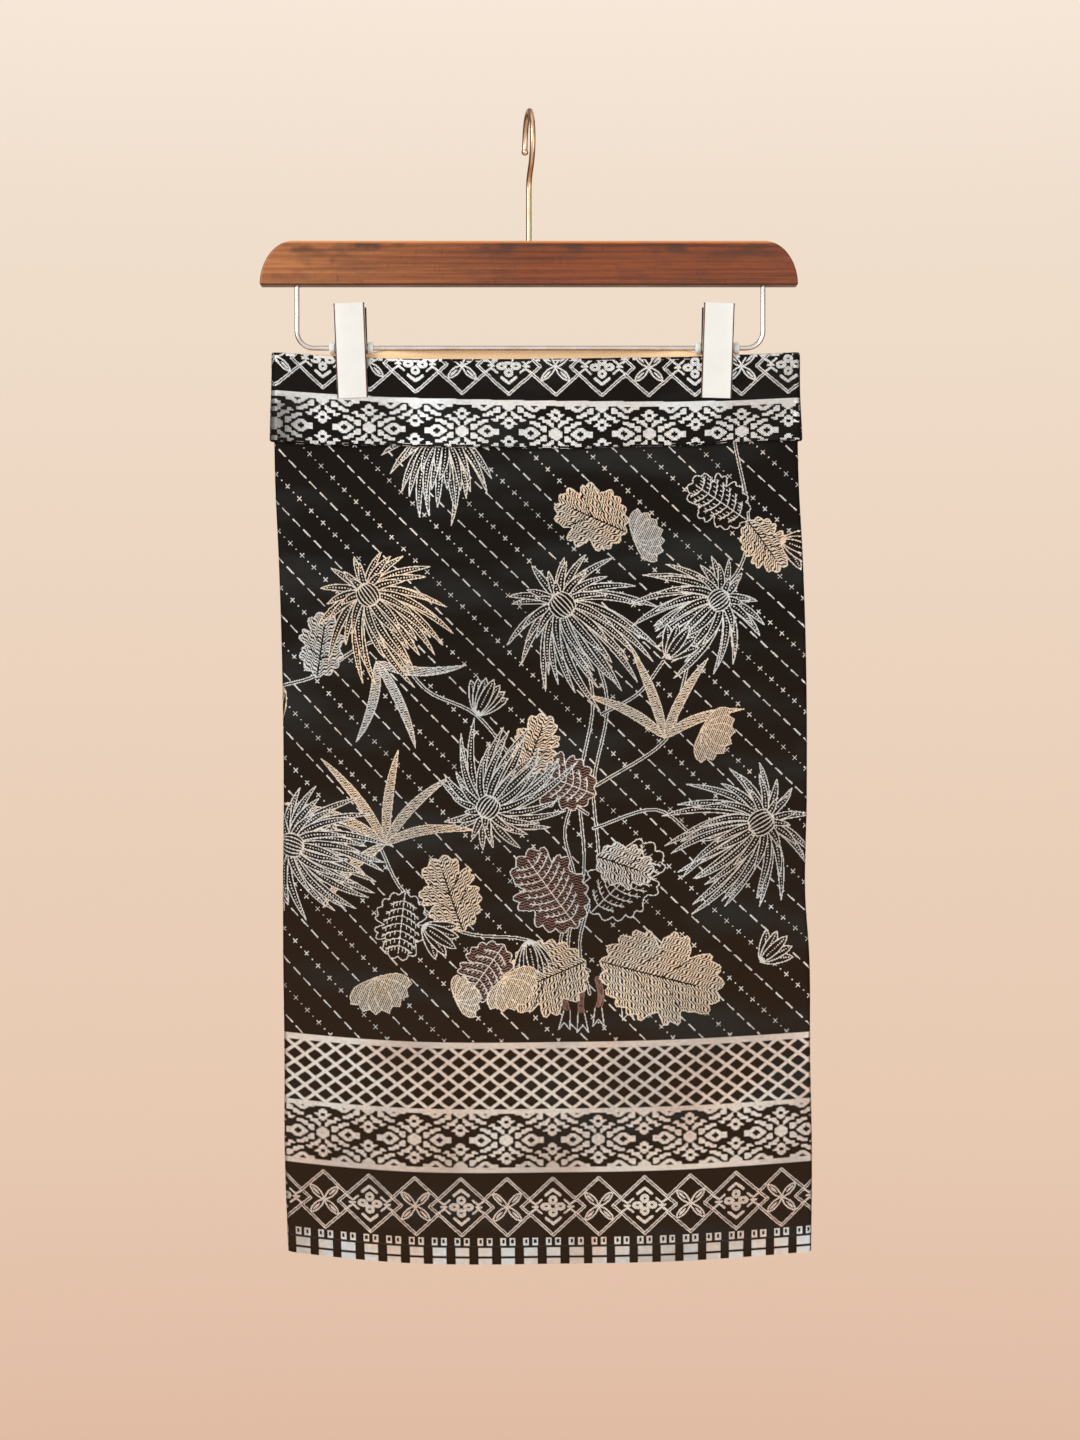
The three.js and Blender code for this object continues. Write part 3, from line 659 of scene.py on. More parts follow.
def tube(u, drop):
    """Outside of the shell, in mm: u is the way round from the middle of the
    front, positive to +X, and drop is the way down from the top edge."""
    u = (u + HALF_ROUND) % (2 * HALF_ROUND) - HALF_ROUND
    front = np.abs(u) <= HALF_ROUND / 2
    from_seam = HALF_ROUND - np.abs(u)
    share = np.where(front, np.abs(u), from_seam) / (HALF_ROUND / 2)
    fold = section("fold", drop)
    flat = section("half", drop) - fold
    straight = flat / (flat + fold * math.pi / 2)
    turn = np.clip((share - straight) / (1 - straight), 0, 1) * math.pi / 2
    x = section("drift", drop) + np.sign(u) * np.minimum(share / straight, 1) * flat
    depth = np.where(front, stand_out("front", x, drop), stand_out("back", x, drop))
    depth = depth - SEAM_DENT * np.exp(-((from_seam / 1.1) ** 2))
    depth = depth + SEAM_RIDGE * np.exp(-(((from_seam - 5) / 4) ** 2))
    x = x + np.sign(u) * fold * np.sin(turn)
    y = np.where(front, -1, 1) * depth * np.cos(turn)
    return np.stack([x, y, hang_height(front, x, drop)], -1)


def lifted(surface, u, down, height):
    """Points at a height above a surface, away from the inside of the tube."""
    u, down = np.broadcast_arrays(np.asarray(u, float), np.asarray(down, float))
    reach = 0.4
    along = surface(u + reach, down) - surface(u - reach, down)
    normal = np.cross(surface(u, down + reach) - surface(u, down - reach), along)
    normal /= np.linalg.norm(normal, axis=-1, keepdims=True)
    return surface(u, down) + normal * np.expand_dims(height, -1)


def round_the_tube(flat_step, fold_step):
    """Places round the tube, closer together over the two side folds."""
    near, quarter = 9, HALF_ROUND / 2
    steps = int((quarter - near) / flat_step)
    left = np.concatenate([
        -HALF_ROUND + np.array([0, 0.7, 1.5, 2.5]),
        np.linspace(-HALF_ROUND + 4, -quarter - near, steps),
        np.linspace(-quarter - near, -quarter + near, int(2 * near / fold_step) + 1)[1:-1],
        np.linspace(-quarter + near, 0, steps),
    ])
    return np.concatenate([left, -left[-2:0:-1]])


def ring_piece(name, points, uvs, material):
    """A grid of points, (columns, rows), closed round the tube and also from
    its last row to its first."""
    count, rows = points.shape[:2]
    faces = np.array(strips(count, rows, closed=True))
    corners = uvs.reshape(-1, 2)[faces]
    corners[-rows:, 2:, 0] += 2 * HALF_ROUND
    return new_piece(name, points.reshape(-1, 3), faces, material, corners)


def closed_layer(name, outline, material):
    """A layer of cloth: an outline of (down, height) points carried all the
    way round the tube."""
    down, height = np.array(outline, float).T
    u_grid, down_grid = np.meshgrid(tube_columns, down, indexing="ij")
    points = lifted(tube, u_grid, down_grid, height)
    return ring_piece(name, points, np.stack([u_grid, -down_grid], -1), material)


def effect(name, **inputs):
    """An empty shader group that is given numbers and, in hex, colours, and
    puts out a colour, a roughness and a height."""
    group = bpy.data.node_groups.new(name, "ShaderNodeTree")
    for label, value in inputs.items():
        kind = "NodeSocketColor" if isinstance(value, str) else "NodeSocketFloat"
        socket = group.interface.new_socket(
            label.replace("_", " "), in_out="INPUT", socket_type=kind
        )
        socket.default_value = linear(value) if isinstance(value, str) else value
    for label, kind in (("Color", "Color"), ("Roughness", "Float"), ("Height", "Float")):
        group.interface.new_socket(label, in_out="OUTPUT", socket_type="NodeSocket" + kind)
    return Nodes(group), group.nodes.new("NodeGroupInput").outputs


def put_out(look, **values):
    ends = look.tree.nodes.new("NodeGroupOutput").inputs
    for label, socket in values.items():
        look.tree.links.new(socket, ends[label])


def woven_finish(name, look, strength, depth, fixed, **values):
    """A material that shows a shared effect; depth is its bump in mm."""
    cloth = Finish(name, **fixed)
    shown = cloth.add("Group", {"node_tree": look.tree}, **values)
    return cloth.show(shown["Color"], shown["Roughness"], shown["Height"], strength, depth)


# Places on the cloth are UVs in mm. Soft patches of painted sheen run across
# the ground, fine ribs cross it, and small creases dent it.
ground, given = effect(
    "cloth_ground", Base="221c18", Hem="2a1a0b", Sheen="56534a", Patches=0.5, Rib_pitch=0.9,
    Crease_size=26,
)
place = ground.add("UVMap", {"uv_map": "cloth"})["UV"]
y = ground.add("SeparateXYZ", i0=place)["Y"]
# Painted sheen: soft slanting patches of the Sheen colour, lighter and glossier than the ground.
painted_sheen_patches = ground.noise(place, 1, 3, (0.007, 0.02, 1), 62, 0.55)
painted_sheen_patches = ground.spread(painted_sheen_patches, 0.46, 0.72, kind="SMOOTHSTEP")
painted_sheen_patches = ground.maths("MULTIPLY", painted_sheen_patches, given["Patches"])
ribs = ground.maths("DIVIDE", 2 * math.pi, given["Rib pitch"])
ribs = ground.maths("SINE", ground.maths("MULTIPLY", y, ribs))
tone = ground.blend(ground.spread(y, -150.0, -520.0), given["Base"], given["Hem"])
tone = ground.blend(painted_sheen_patches, tone, given["Sheen"])
tone = ground.scaled(tone, ground.spread(ground.noise(place, 1.3), 0.3, 0.7, 0.82, 1.2))
creases = ground.noise(place, ground.maths("DIVIDE", 1.0, given["Crease size"]), 2.5)
dents = ground.maths("MULTIPLY_ADD", ribs, 0.35, ground.maths("MULTIPLY", creases, 10.0))
put_out(ground, Color=tone, Roughness=ground.spread(painted_sheen_patches, 0, 1, 0.66, 0.5), Height=dents)

black_brocade = woven_finish(
    "black_brocade", ground, 1.0, 0.12, {"Specular_IOR_Level": 0.1},
    Base="130c06", Sheen="2a2b29", Patches=0.6, Crease_size=26,
)

tube_columns = round_the_tube(4.4, 0.7)
inside, hem_edge = -SHELL_WALL, CLOTH_LENGTH - HEM_TURN
shell_outline = [(down, 0) for down in np.linspace(UNDER_TUCK, CLOTH_LENGTH - 0.6, 142)]
shell_outline += [(CLOTH_LENGTH, -0.7), (CLOTH_LENGTH - 0.5, inside - 0.9)]
shell_outline += [(down, inside - HEM_EXTRA) for down in (CLOTH_LENGTH - 6, hem_edge)]
shell_outline += [(down, inside) for down in np.linspace(hem_edge - 0.2, UNDER_TUCK, 70)]
shell = closed_layer("samping_shell", shell_outline, black_brocade)
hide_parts("skirt_front", "skirt_back")

# ------------------------------------------------------------- waist tuck
# The same brocade rolled over at the waist: a doubled band 62 mm deep on the
# outside, turned in over the top edge and tacked there. Its lower fold is
# soft and stands a little off the shell.

TUCK_DEPTH = 62.5
TOP_ROLL, LOWER_ROLL = 1.1, 1.35
TUCK_FACE = 1.9  # how far the outer face stands off the shell's surface
TUCK_LIFT = 1.3  # how much more it does at the lower fold
TUCK_INSIDE = 0.35
FACE_LENGTH = TUCK_DEPTH - TOP_ROLL - LOWER_ROLL


def tuck(u, along, raised=0.0):
    """The tuck's outside, `along` in mm down its outer face: below zero it
    rolls over the top edge, past the face it rolls round the lower fold."""
    u, along = np.broadcast_arrays(np.asarray(u, float), np.asarray(along, float))
    over = np.clip(-along / TOP_ROLL, 0, math.pi)
    under = np.clip((along - FACE_LENGTH) / LOWER_ROLL, 0, math.pi)
    top, lower = TOP_ROLL + raised, LOWER_ROLL + raised
    face = np.clip(along, 0, FACE_LENGTH)
    swell = 0.45 * np.sin(u / 27 + 0.7) * np.sin(face / 17 + u / 90)
    swell = swell + 0.25 * np.sin(u / 11 - face / 23)
    swell = swell * np.sin(math.pi * face / FACE_LENGTH) ** 0.7
    stands = TUCK_FACE + TUCK_LIFT * smooth(face, 12, FACE_LENGTH) + swell
    height = stands + top * (np.cos(over) - 1) + lower * (np.cos(under) - 1) + raised
    wave = (0.7 * np.sin(u / 37 + 0.5) + 0.4 * np.sin(u / 14)) * smooth(face, 30, FACE_LENGTH)
    down = TOP_ROLL + face - top * np.sin(over) + lower * np.sin(under) + wave
    return lifted(tube, u, down, height)


tuck_rows = np.concatenate([
    np.linspace(-math.pi * TOP_ROLL, -0.3, 7), np.linspace(0, FACE_LENGTH, 28),
    FACE_LENGTH + LOWER_ROLL * np.linspace(0.35, math.pi, 8),
])
inner_rows = np.linspace(TUCK_DEPTH - LOWER_ROLL - 3, TOP_ROLL + 0.1, 12)
u_grid, along_grid = np.meshgrid(tube_columns, tuck_rows, indexing="ij")
u_inner, inner_grid = np.meshgrid(tube_columns, inner_rows, indexing="ij")
tuck_points = np.concatenate(
    [tuck(u_grid, along_grid), lifted(tube, u_inner, inner_grid, TUCK_INSIDE)], axis=1
)
tuck_uvs = np.concatenate(
    [np.stack([u_grid, 40 - along_grid], -1), np.stack([u_inner, 120 + inner_grid], -1)], axis=1
)
tuck_piece = ring_piece("waist_tuck", tuck_points, tuck_uvs, black_brocade)
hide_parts("cuff_front", "cuff_back")

# ----------------------------------------------------------- waist facing
# A strip of plain tan cotton sewn inside the waist, under the turned-in edge.
# It shows above the sagging front edge, between the clips.

FACING_DEPTH = 34
FACING_OUTSIDE, FACING_INSIDE = -1.5, -2.5  # heights over the shell's surface
facing_rows = np.linspace(5, FACING_DEPTH, 8)
facing_outline = [(-0.3, -0.6), (0.7, -0.95), (2.2, FACING_OUTSIDE)]
facing_outline += [(down, FACING_OUTSIDE) for down in facing_rows]
facing_outline += [(down, FACING_INSIDE) for down in facing_rows[::-1]]
facing_outline += [(1.6, -2.45), (0.2, -1.9), (-0.45, -1.2)]
tan_cotton = woven_finish(
    "tan_cotton", ground, 1.0, 0.1,
    {"Specular_IOR_Level": 0.2, "Sheen_Weight": 0.15, "Sheen_Roughness": 0.5},
    Base="ffdcae", Sheen="ffe6c6", Patches=0.3, Crease_size=18,
)
facing = closed_layer("waist_facing", facing_outline, tan_cotton)
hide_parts("facing_front", "facing_back")

# ---------------------------------------------------------- woven borders
# Rows brocaded across the cloth near its hem: a lattice, a band of stepped
# medallions between twill lines, a chain of diamonds, and squares and bars.
# The cloth's other end has the same rows, and shows upside down on the tuck.

# Metal wefts float over the black ground and are bound down in fine twill.
# Every pick that shows lies as a thin raised thread on the cloth.
END, PICK = 0.5, 0.53  # width of one warp end and of one weft pick
ENDS = round(2 * HALF_ROUND / END)
GROUND, SILVER, CHAMPAGNE, ROSE = range(4)
THREAD_RISE = 0.16
LONGEST_RUN = 8  # picks taken together
FLAT_CUTS, FOLD_CUTS, BEND_REACH = 14, 2, 8  # floats are cut closer near a fold


class Weave:
    """Which thread floats on top at each end and pick, all round the tube."""

    def __init__(self, top, bottom, goes_round=False):
        self.top = top
        self.picks = round((bottom - top) / PICK)
        self.shown = np.zeros((self.picks, ENDS), np.uint8)
        self.goes_round = goes_round

    def places(self, ends=np.arange(ENDS), picks=None):
        """Place on the cloth of ends and of picks, by default of all."""
        picks = np.arange(self.picks) if picks is None else picks
        u = (ends + 0.5) * END - HALF_ROUND
        return u[None, :], (self.top + (picks + 0.5) * PICK)[:, None]

    def window(self, outline, margin=0.0):
        """The block of the weave that an outline takes in, and its places."""
        low, high = outline.min(0) - margin, outline.max(0) + margin
        ends = math.floor((low[0] + HALF_ROUND) / END), math.ceil((high[0] + HALF_ROUND) / END)
        picks = math.floor((low[1] - self.top) / PICK), math.ceil((high[1] - self.top) / PICK)
        if not self.goes_round:
            ends = np.clip(ends, 0, ENDS)
        ends, picks = np.arange(*ends), np.arange(*np.clip(picks, 0, self.picks))
        return np.ix_(picks, ends % ENDS), *self.places(ends, picks)

    def lay(self, block, mask, thread):
        self.shown[block] = np.where(mask, thread, self.shown[block])

    def fill(self, outline, thread, pattern=None):
        """Fill an outline, wholly or where pattern(u, down) is true."""
        outline = np.asarray(outline)
        block, u, down = self.window(outline)
        inside = np.zeros((down.shape[0], u.shape[1]), bool)
        for (u0, d0), (u1, d1) in zip(outline, np.roll(outline, -1, axis=0)):
            if d0 != d1:
                beside = u < u0 + (down - d0) * (u1 - u0) / (d1 - d0)
                inside ^= ((d0 > down) != (d1 > down)) & beside
        if pattern is not None:
            inside &= pattern(u, down)
        self.lay(block, inside, thread)

    def stroke(self, points, width, thread, dash=None, closed=False):
        """A line of stitches; dash is the length of a stitch and the pitch."""
        points = np.asarray(points, float)
        if closed:
            points = np.concatenate([points, points[:1]])
        block, u, down = self.window(points, width)
        laid = np.zeros((down.shape[0], u.shape[1]), bool)
        gone = 0.0
        for (u0, d0), (u1, d1) in zip(points[:-1], points[1:]):
            length = math.hypot(u1 - u0, d1 - d0)
            if length == 0:
                continue
            along = ((u - u0) * (u1 - u0) + (down - d0) * (d1 - d0)) / length
            held = np.clip(along, 0, length)
            u_off = u - u0 - held * (u1 - u0) / length
            down_off = down - d0 - held * (d1 - d0) / length
            near = np.hypot(u_off, down_off) <= width / 2
            if dash is not None:
                near &= (gone + along) % dash[1] < dash[0]
            laid |= near
            gone += length
        self.lay(block, laid, thread)


def floats(weave, thread, cuts):
    """The floats of one thread as (first end, last end, first pick, last pick),
    with equal picks taken together and long floats cut at the given ends."""
    edges = np.diff(np.pad((weave.shown == thread).astype(np.int8), ((0, 0), (1, 1))), axis=1)
    picks, starts = np.nonzero(edges == 1)
    stops = np.nonzero(edges == -1)[1]
    first_cut = np.searchsorted(cuts, starts, side="right")
    last_cut = np.searchsorted(cuts, stops, side="left")
    running, done = {}, []
    spans = np.stack([picks, starts, stops, first_cut, last_cut], 1)
    for pick, start, stop, first, last in spans.tolist():
        marks = [start, *cuts[first:last].tolist(), stop]
        for ends in zip(marks[:-1], marks[1:]):
            one = running.get(ends)
            if one is not None and one[3] == pick and pick - one[2] < LONGEST_RUN:
                one[3] = pick + 1
            else:
                running[ends] = [*ends, pick, pick + 1]
                done.append(running[ends])
    return np.array(done)


def thread_piece(name, weave, thread, surface, material, first=-math.inf, last=math.inf):
    """One kind of thread, between two places down the cloth, as a piece laid
    over a surface(u, down, raised)."""
    ends = np.arange(1, ENDS)
    u = np.abs(ends * END - HALF_ROUND)
    from_bend = np.minimum(np.abs(u - HALF_ROUND / 2), HALF_ROUND - u)
    cut = np.where(from_bend < BEND_REACH, ends % FOLD_CUTS, ends % FLAT_CUTS) == 0
    left, right, upper, lower = floats(weave, thread, ends[cut]).T
    left, right = left * END - HALF_ROUND, right * END - HALF_ROUND
    upper, lower = weave.top + upper * PICK, weave.top + lower * PICK
    shown = (upper >= first) & (upper < last)
    u = np.stack([left, left, right, right], axis=1)[shown]
    down = np.stack([upper, lower, lower, upper], axis=1)[shown]
    points = surface(u, down, THREAD_RISE).reshape(-1, 3)
    faces = np.arange(len(points)).reshape(-1, 4)
    return new_piece(name, points, faces, material, np.stack([u, -down], axis=-1))


# Metal-wrapped thread: its hue drifts from silver to rose across the cloth, and
# twill bindings hatch it. Beside the tuck's left fold it is darkened with painted shade.
lustre, given = effect(
    "thread_lustre", Silver="d8d4d0", Rose="e3c2b0", Gap="3a2a22", Hatch=0.5, Pitch=1.6,
    Drift_size=60, Rubbed_fold=0.0,
)
place = lustre.add("UVMap", {"uv_map": "cloth"})["UV"]
split = lustre.add("SeparateXYZ", i0=place)
drift = lustre.noise(place, lustre.maths("DIVIDE", 1.0, given["Drift size"]), 1.5)
hue = lustre.blend(lustre.spread(drift, 0.38, 0.62), given["Silver"], given["Rose"])
glints = lustre.noise(place, 0.55)
bright = lustre.spread(glints, 0.3, 0.7, 0.76, 1.18)
shade = lustre.spread(lustre.noise(place, 0.013), 0.34, 0.6, 0.8, 1.1)
# Painted shade: near the left side fold the thread is darkened by the given amount, less so higher
# up.
from_fold = lustre.maths("ABSOLUTE", lustre.maths("ADD", split["X"], HALF_ROUND / 2))
beside = lustre.spread(from_fold, 10, 32, given["Rubbed fold"], 0)
rubbed = lustre.maths("MULTIPLY", beside, lustre.spread(split["Y"], -24, -36, 0.25, 1))
uneven = lustre.maths("MULTIPLY", bright, shade)
uneven = lustre.maths("MULTIPLY", uneven, lustre.maths("SUBTRACT", 1.0, rubbed))
twill = lustre.maths("DIVIDE", lustre.maths("ADD", split["X"], split["Y"]), given["Pitch"])
twill = lustre.maths("FRACT", twill)
gaps = lustre.maths("MULTIPLY", lustre.maths("GREATER_THAN", twill, 0.68), given["Hatch"])
tone = lustre.blend(gaps, lustre.scaled(hue, uneven), given["Gap"])
put_out(lustre, Color=tone, Roughness=lustre.spread(glints, 0.3, 0.7, 0.5, 0.34), Height=twill)


def thread_finish(name, silver, rose, hatch, pitch, drift_size, metallic, rubbed=0.0):
    return woven_finish(
        name, lustre, 0.6, 0.25, {"Metallic": metallic, "Specular_IOR_Level": 0.5},
        Silver=silver, Rose=rose, Hatch=hatch, Pitch=pitch, Drift_size=drift_size,
        Rubbed_fold=rubbed,
    )


# One quarter of a medallion in cells, from its middle out; rows go to the edge.
MEDALLION = (
    "###....###...####",
    "###.##..###.#####",
    "##..###..#####...",
    "#...###...###....",
    ".#..#####........",
    ".##....###.......",
    ".###...#####.....",
    "..####...###.....",
    "#.####...........",
    "##...###.........",
    "##...##..........",
    ".##..............",
    ".###.............",
    "##...............",
    "##...............",
    "#................",
)
MEDALLION_CELL, CHART_SIZE = (1.53, 1.06), (20, 24)  # the chart has an empty margin
# Places down the cloth, from the medallions' middle line.
BORDER_TOP, BORDER_BOTTOM = -68.5, 87.0
LATTICE_LINE, DIAMOND_LINE, SQUARE_LINE = -59.8, 46.6, 70.8
TWILL_LINES = ((-68.5, -64.4), (-22.1, -18.7), (19.2, 22.6))
LATTICE_ROWS, MEDALLION_ROWS = (-64.4, -22.1), (-22.1, 22.9)
SQUARE_ROWS, BAR_ROWS = (68.1, 73.5), ((75.3, 81.0), (82.4, 87.1))
LATTICE_START, LATTICE_PITCH, LATTICE_BAR = -98, (14.42, 5.41), 0.746
RINGS = ((0, -4.6, 3.3, 3.3), (-5, 0, 3.9, 2.9), (5, 0, 3.9, 2.9), (0, 4.1, 3.4, 3.2))
KNOT = ((8.1, 4.6), (11.9, 1.5), (16.2, 4.5))
HEM_PITCH, HEM_START, HEM_MEDALLIONS = 64.1, -29.2, 548.0
TUCK_PITCH, TUCK_START, TUCK_MEDALLIONS, TUCK_SKEW = 65.7, -51.9, 52.2 - TOP_ROLL, 2.8


def petal(base, angle, length, width, bend, steps=10, blunt=0.6):
    """Middle line and outline of a pointed petal or leaf that bends aside."""
    t = np.linspace(0, 1, steps)[:, None]
    ahead = np.array([math.cos(angle), math.sin(angle)])
    aside = np.array([-ahead[1], ahead[0]])
    middle = np.asarray(base) + length * (t * ahead + bend * t**2 * aside)
    heading = ahead + 2 * bend * t * aside
    normal = np.stack([-heading[:, 1], heading[:, 0]], 1)
    normal /= np.linalg.norm(heading, axis=1, keepdims=True)
    swell = t**blunt * (1 - t) ** 0.75
    half = width / 2 * swell / swell.max()
    return middle, np.concatenate([middle + half * normal, (middle - half * normal)[-2:0:-1]])


def diamond(weave, u0, reach, ringed):
    """A diamond of the chain, with ring flowers or with four lenses in it."""

    def line(points, width, thread=SILVER):
        weave.stroke([(u0 + du, DIAMOND_LINE + dv) for du, dv in points], width, thread)

    corners = [(side, end) for side in (-1, 1) for end in (-1, 1)]
    for side, end in corners:
        bars = [(0, 19.8 * end), (reach * side, 5.2 * end)] + [(22.2 * side, 0)] * ringed
        line(bars, 2.2)
        line(bars, 0.64, GROUND)
    if not ringed:
        for side, end in corners:
            angle = math.atan2(9.5 * end, 9.8 * side)
            lens = petal((u0, DIAMOND_LINE), angle, 13.6, 4.3, 0, blunt=0.9)[1]
            weave.stroke(lens, 1.15, SILVER, closed=True)
            inner = (u0 + 3.1 * side, DIAMOND_LINE + 3 * end)
            weave.fill(petal(inner, angle, 7.4, 1.6, 0, blunt=0.9)[1], SILVER)
        return
    for du, dv, wide, high in RINGS:
        turn = np.linspace(0, 2 * math.pi, 14)[:-1]
        across, drop = du + wide * np.cos(turn), dv + high * np.sin(turn)
        weave.fill(np.stack([u0 + across, DIAMOND_LINE + drop], 1), SILVER)
        line([(du - 0.5, dv), (du + 0.5, dv)], 1.1, GROUND)
    for end in (-1, 1):
        line([(-5, 8.1 * end), (0, 12 * end), (5, 8.1 * end)], 2.1)
        for side in (-1, 1):
            line([(du * side, dv * end) for du, dv in KNOT], 1.5)
    for side in (-1, 1):
        line([(10.4 * side, 0), (14.2 * side, 0)], 1.5)


def border(pitch, middle):
    """The border's weave, measured from the medallions' middle line; pitch is
    the distance between medallions and middle the place of one of them."""
    weave = Weave(BORDER_TOP, BORDER_BOTTOM)
    u, down = weave.places()
    shown = np.zeros(weave.shown.shape, bool)

    def from_nearest(start, spacing):
        return (u - start + spacing / 2) % spacing - spacing / 2

    def rows(first, last):
        return (down >= first) & (down < last)

    chart = np.zeros(CHART_SIZE, bool)
    for row, cells in enumerate(MEDALLION):
        chart[row, :len(cells)] = [cell == "#" for cell in cells]
    for row_middle, shift in ((0, 0), (-19.5, pitch / 2), (19.1, pitch / 2)):
        column = np.abs(from_nearest(middle + shift, pitch)) // MEDALLION_CELL[0]
        row = np.abs(down - row_middle) // MEDALLION_CELL[1]
        row, column = (
            np.minimum(cell, size - 1).astype(int)
            for cell, size in zip((row, column), CHART_SIZE)
        )
        cells = chart[row, column]
        shown |= cells & rows(*MEDALLION_ROWS)
    for first, last in TWILL_LINES:
        shown |= rows(first, last)
    wide, high = LATTICE_PITCH
    line = np.round((down - LATTICE_LINE) / high)
    shift = np.where(line % 2 == 0, 0, wide / 2)
    near = np.min([
        np.abs(from_nearest(LATTICE_START + (wide / 2 - shift if k else shift), wide)) / (wide / 2)
        + np.abs(down - LATTICE_LINE - (line + k) * high) / high
        for k in (-1, 0, 1)
    ], axis=0)
    shown |= (near > LATTICE_BAR) & rows(*LATTICE_ROWS)
    weave.shown[shown] = SILVER
    bar = np.abs(from_nearest(middle, pitch / 4))
    square = np.abs(bar - 3.2)
    hole = (square < 0.8) & (np.abs(down - SQUARE_LINE) < 1.3)
    in_bars = (bar < 4.9) & (rows(*BAR_ROWS[0]) | rows(*BAR_ROWS[1]))
    weave.shown[in_bars | (square < 2.05) & rows(*SQUARE_ROWS) & ~hole] = ROSE
    first = math.ceil((-HALF_ROUND - middle) / (pitch / 2)) - 1
    for k in range(first, first + math.ceil(4 * HALF_ROUND / pitch) + 3):
        diamond(weave, middle + k * pitch / 2, pitch / 4, k % 2)
    return weave


def border_rows(down):
    """The border's pick at distances below its medallions' middle line."""
    return np.round((down - BORDER_TOP) / PICK - 0.5).astype(int)


# The tuck's silver thread takes painted shade beside its left fold.
silver_thread = thread_finish("silver_thread", "fbfbfb", "f6efe9", 0.62, 1.7, 55, 0.75, 0.72)
rose_silver_thread = thread_finish("rose_silver_thread", "fff2e7", "ffe5d4", 0.72, 1.7, 60, 0.75)
bar_thread = thread_finish("bar_thread", "eff3f4", "fce2d0", 0.62, 1.7, 42, 0.75)

# The tuck shows the border from its ring flowers up to the diamonds' middles.
# Floats come over its top roll; in its right fold most are left out as painted
# shade, so the fold shows dark with short dashes.
tuck_border = border(TUCK_PITCH, TUCK_START)
tuck_weave = Weave(-3.3, FACE_LENGTH + 4.1)
u, along = tuck_weave.places()
askew = TUCK_SKEW * np.sin(math.pi * u / HALF_ROUND)
row = np.clip(border_rows(TUCK_MEDALLIONS + askew - along), 0, tuck_border.picks - 1)
tuck_weave.shown[:] = tuck_border.shown[row, np.arange(ENDS)]
over_roll = (along < 0.7) & ((u + 2.3 * np.sin(u / 6.1)) % 7.3 < 4.2)
# Painted shade: most floats are left out of the right fold so that it reads dark.
in_fold = (np.abs(u - HALF_ROUND / 2) < 2.4) & (along % 2.6 > 0.7)
tuck_weave.shown[over_roll] = SILVER
tuck_weave.shown[in_fold] = GROUND
tuck_threads = thread_piece("tuck_border_threads", tuck_weave, SILVER, tuck, silver_thread)

hem_border = border(HEM_PITCH, HEM_START)
cloth_weave = Weave(53, CLOTH_LENGTH, goes_round=True)
fill, stroke = cloth_weave.fill, cloth_weave.stroke
u, down = cloth_weave.places()
row = border_rows(down[:, 0] - HEM_MEDALLIONS)
in_border = (row >= 0) & (row < hem_border.picks)
hem_rows = hem_border.shown[row[in_border]]

# ------------------------------------------------------------ woven field
# Between the borders, slanting rows of dashes and small crosses, and over
# them sprays of spider chrysanthemums, lobed and willow leaves and buds, in
# silver and champagne.

FIELD_END = 479
ROWS_START, ROWS_PITCH = -209.9, 40.08
DASH_PITCH, CROSS_PITCH = 7.1, 8.0


def slanting_rows(u, down):
    """Where the slanting rows of dashes and crosses float."""
    off_row = (u - down - ROWS_START + ROWS_PITCH / 2) % ROWS_PITCH - ROWS_PITCH / 2
    dashes = (np.abs(off_row) < 0.66) & ((u + down) / 2 % DASH_PITCH < 4.9)
    row = np.round((u - down - ROWS_START) / ROWS_PITCH - 0.5) + 0.5
    start = ROWS_START + row * ROWS_PITCH
    nearest = np.round((u + down + start) / 2 / (CROSS_PITCH / 2))
    u_off = np.abs(u - nearest * CROSS_PITCH / 2)
    down_off = np.abs(down - nearest * CROSS_PITCH / 2 + start)
    off = np.maximum(u_off, down_off)
    cross = (np.abs(u_off - down_off) < 0.42) & (off < 1.6)
    return dashes | np.where(nearest % 2 == 0, cross, off < 0.45)


cloth_weave.shown[slanting_rows(u, down) & (down < FIELD_END)] = SILVER


def turned(points, angle, middle):
    """Points turned by an angle and moved to a place on the cloth."""
    cos, sin = math.cos(angle), math.sin(angle)
    return np.asarray(points, float) @ np.array([[cos, sin], [-sin, cos]]) + np.asarray(middle)


def shape(outline, width, thread, pattern=None, inner=None):
    """A shape that covers what lies under it, outlined, and filled where
    pattern(u, down) is true."""
    fill(outline, GROUND)
    if pattern:
        fill(outline, thread if inner is None else inner, pattern)
    stroke(outline, width, thread, closed=True)


BLOOM_RINGS = ((18, 1.0), (15, 0.82), (9, 0.58))  # petals and their reach


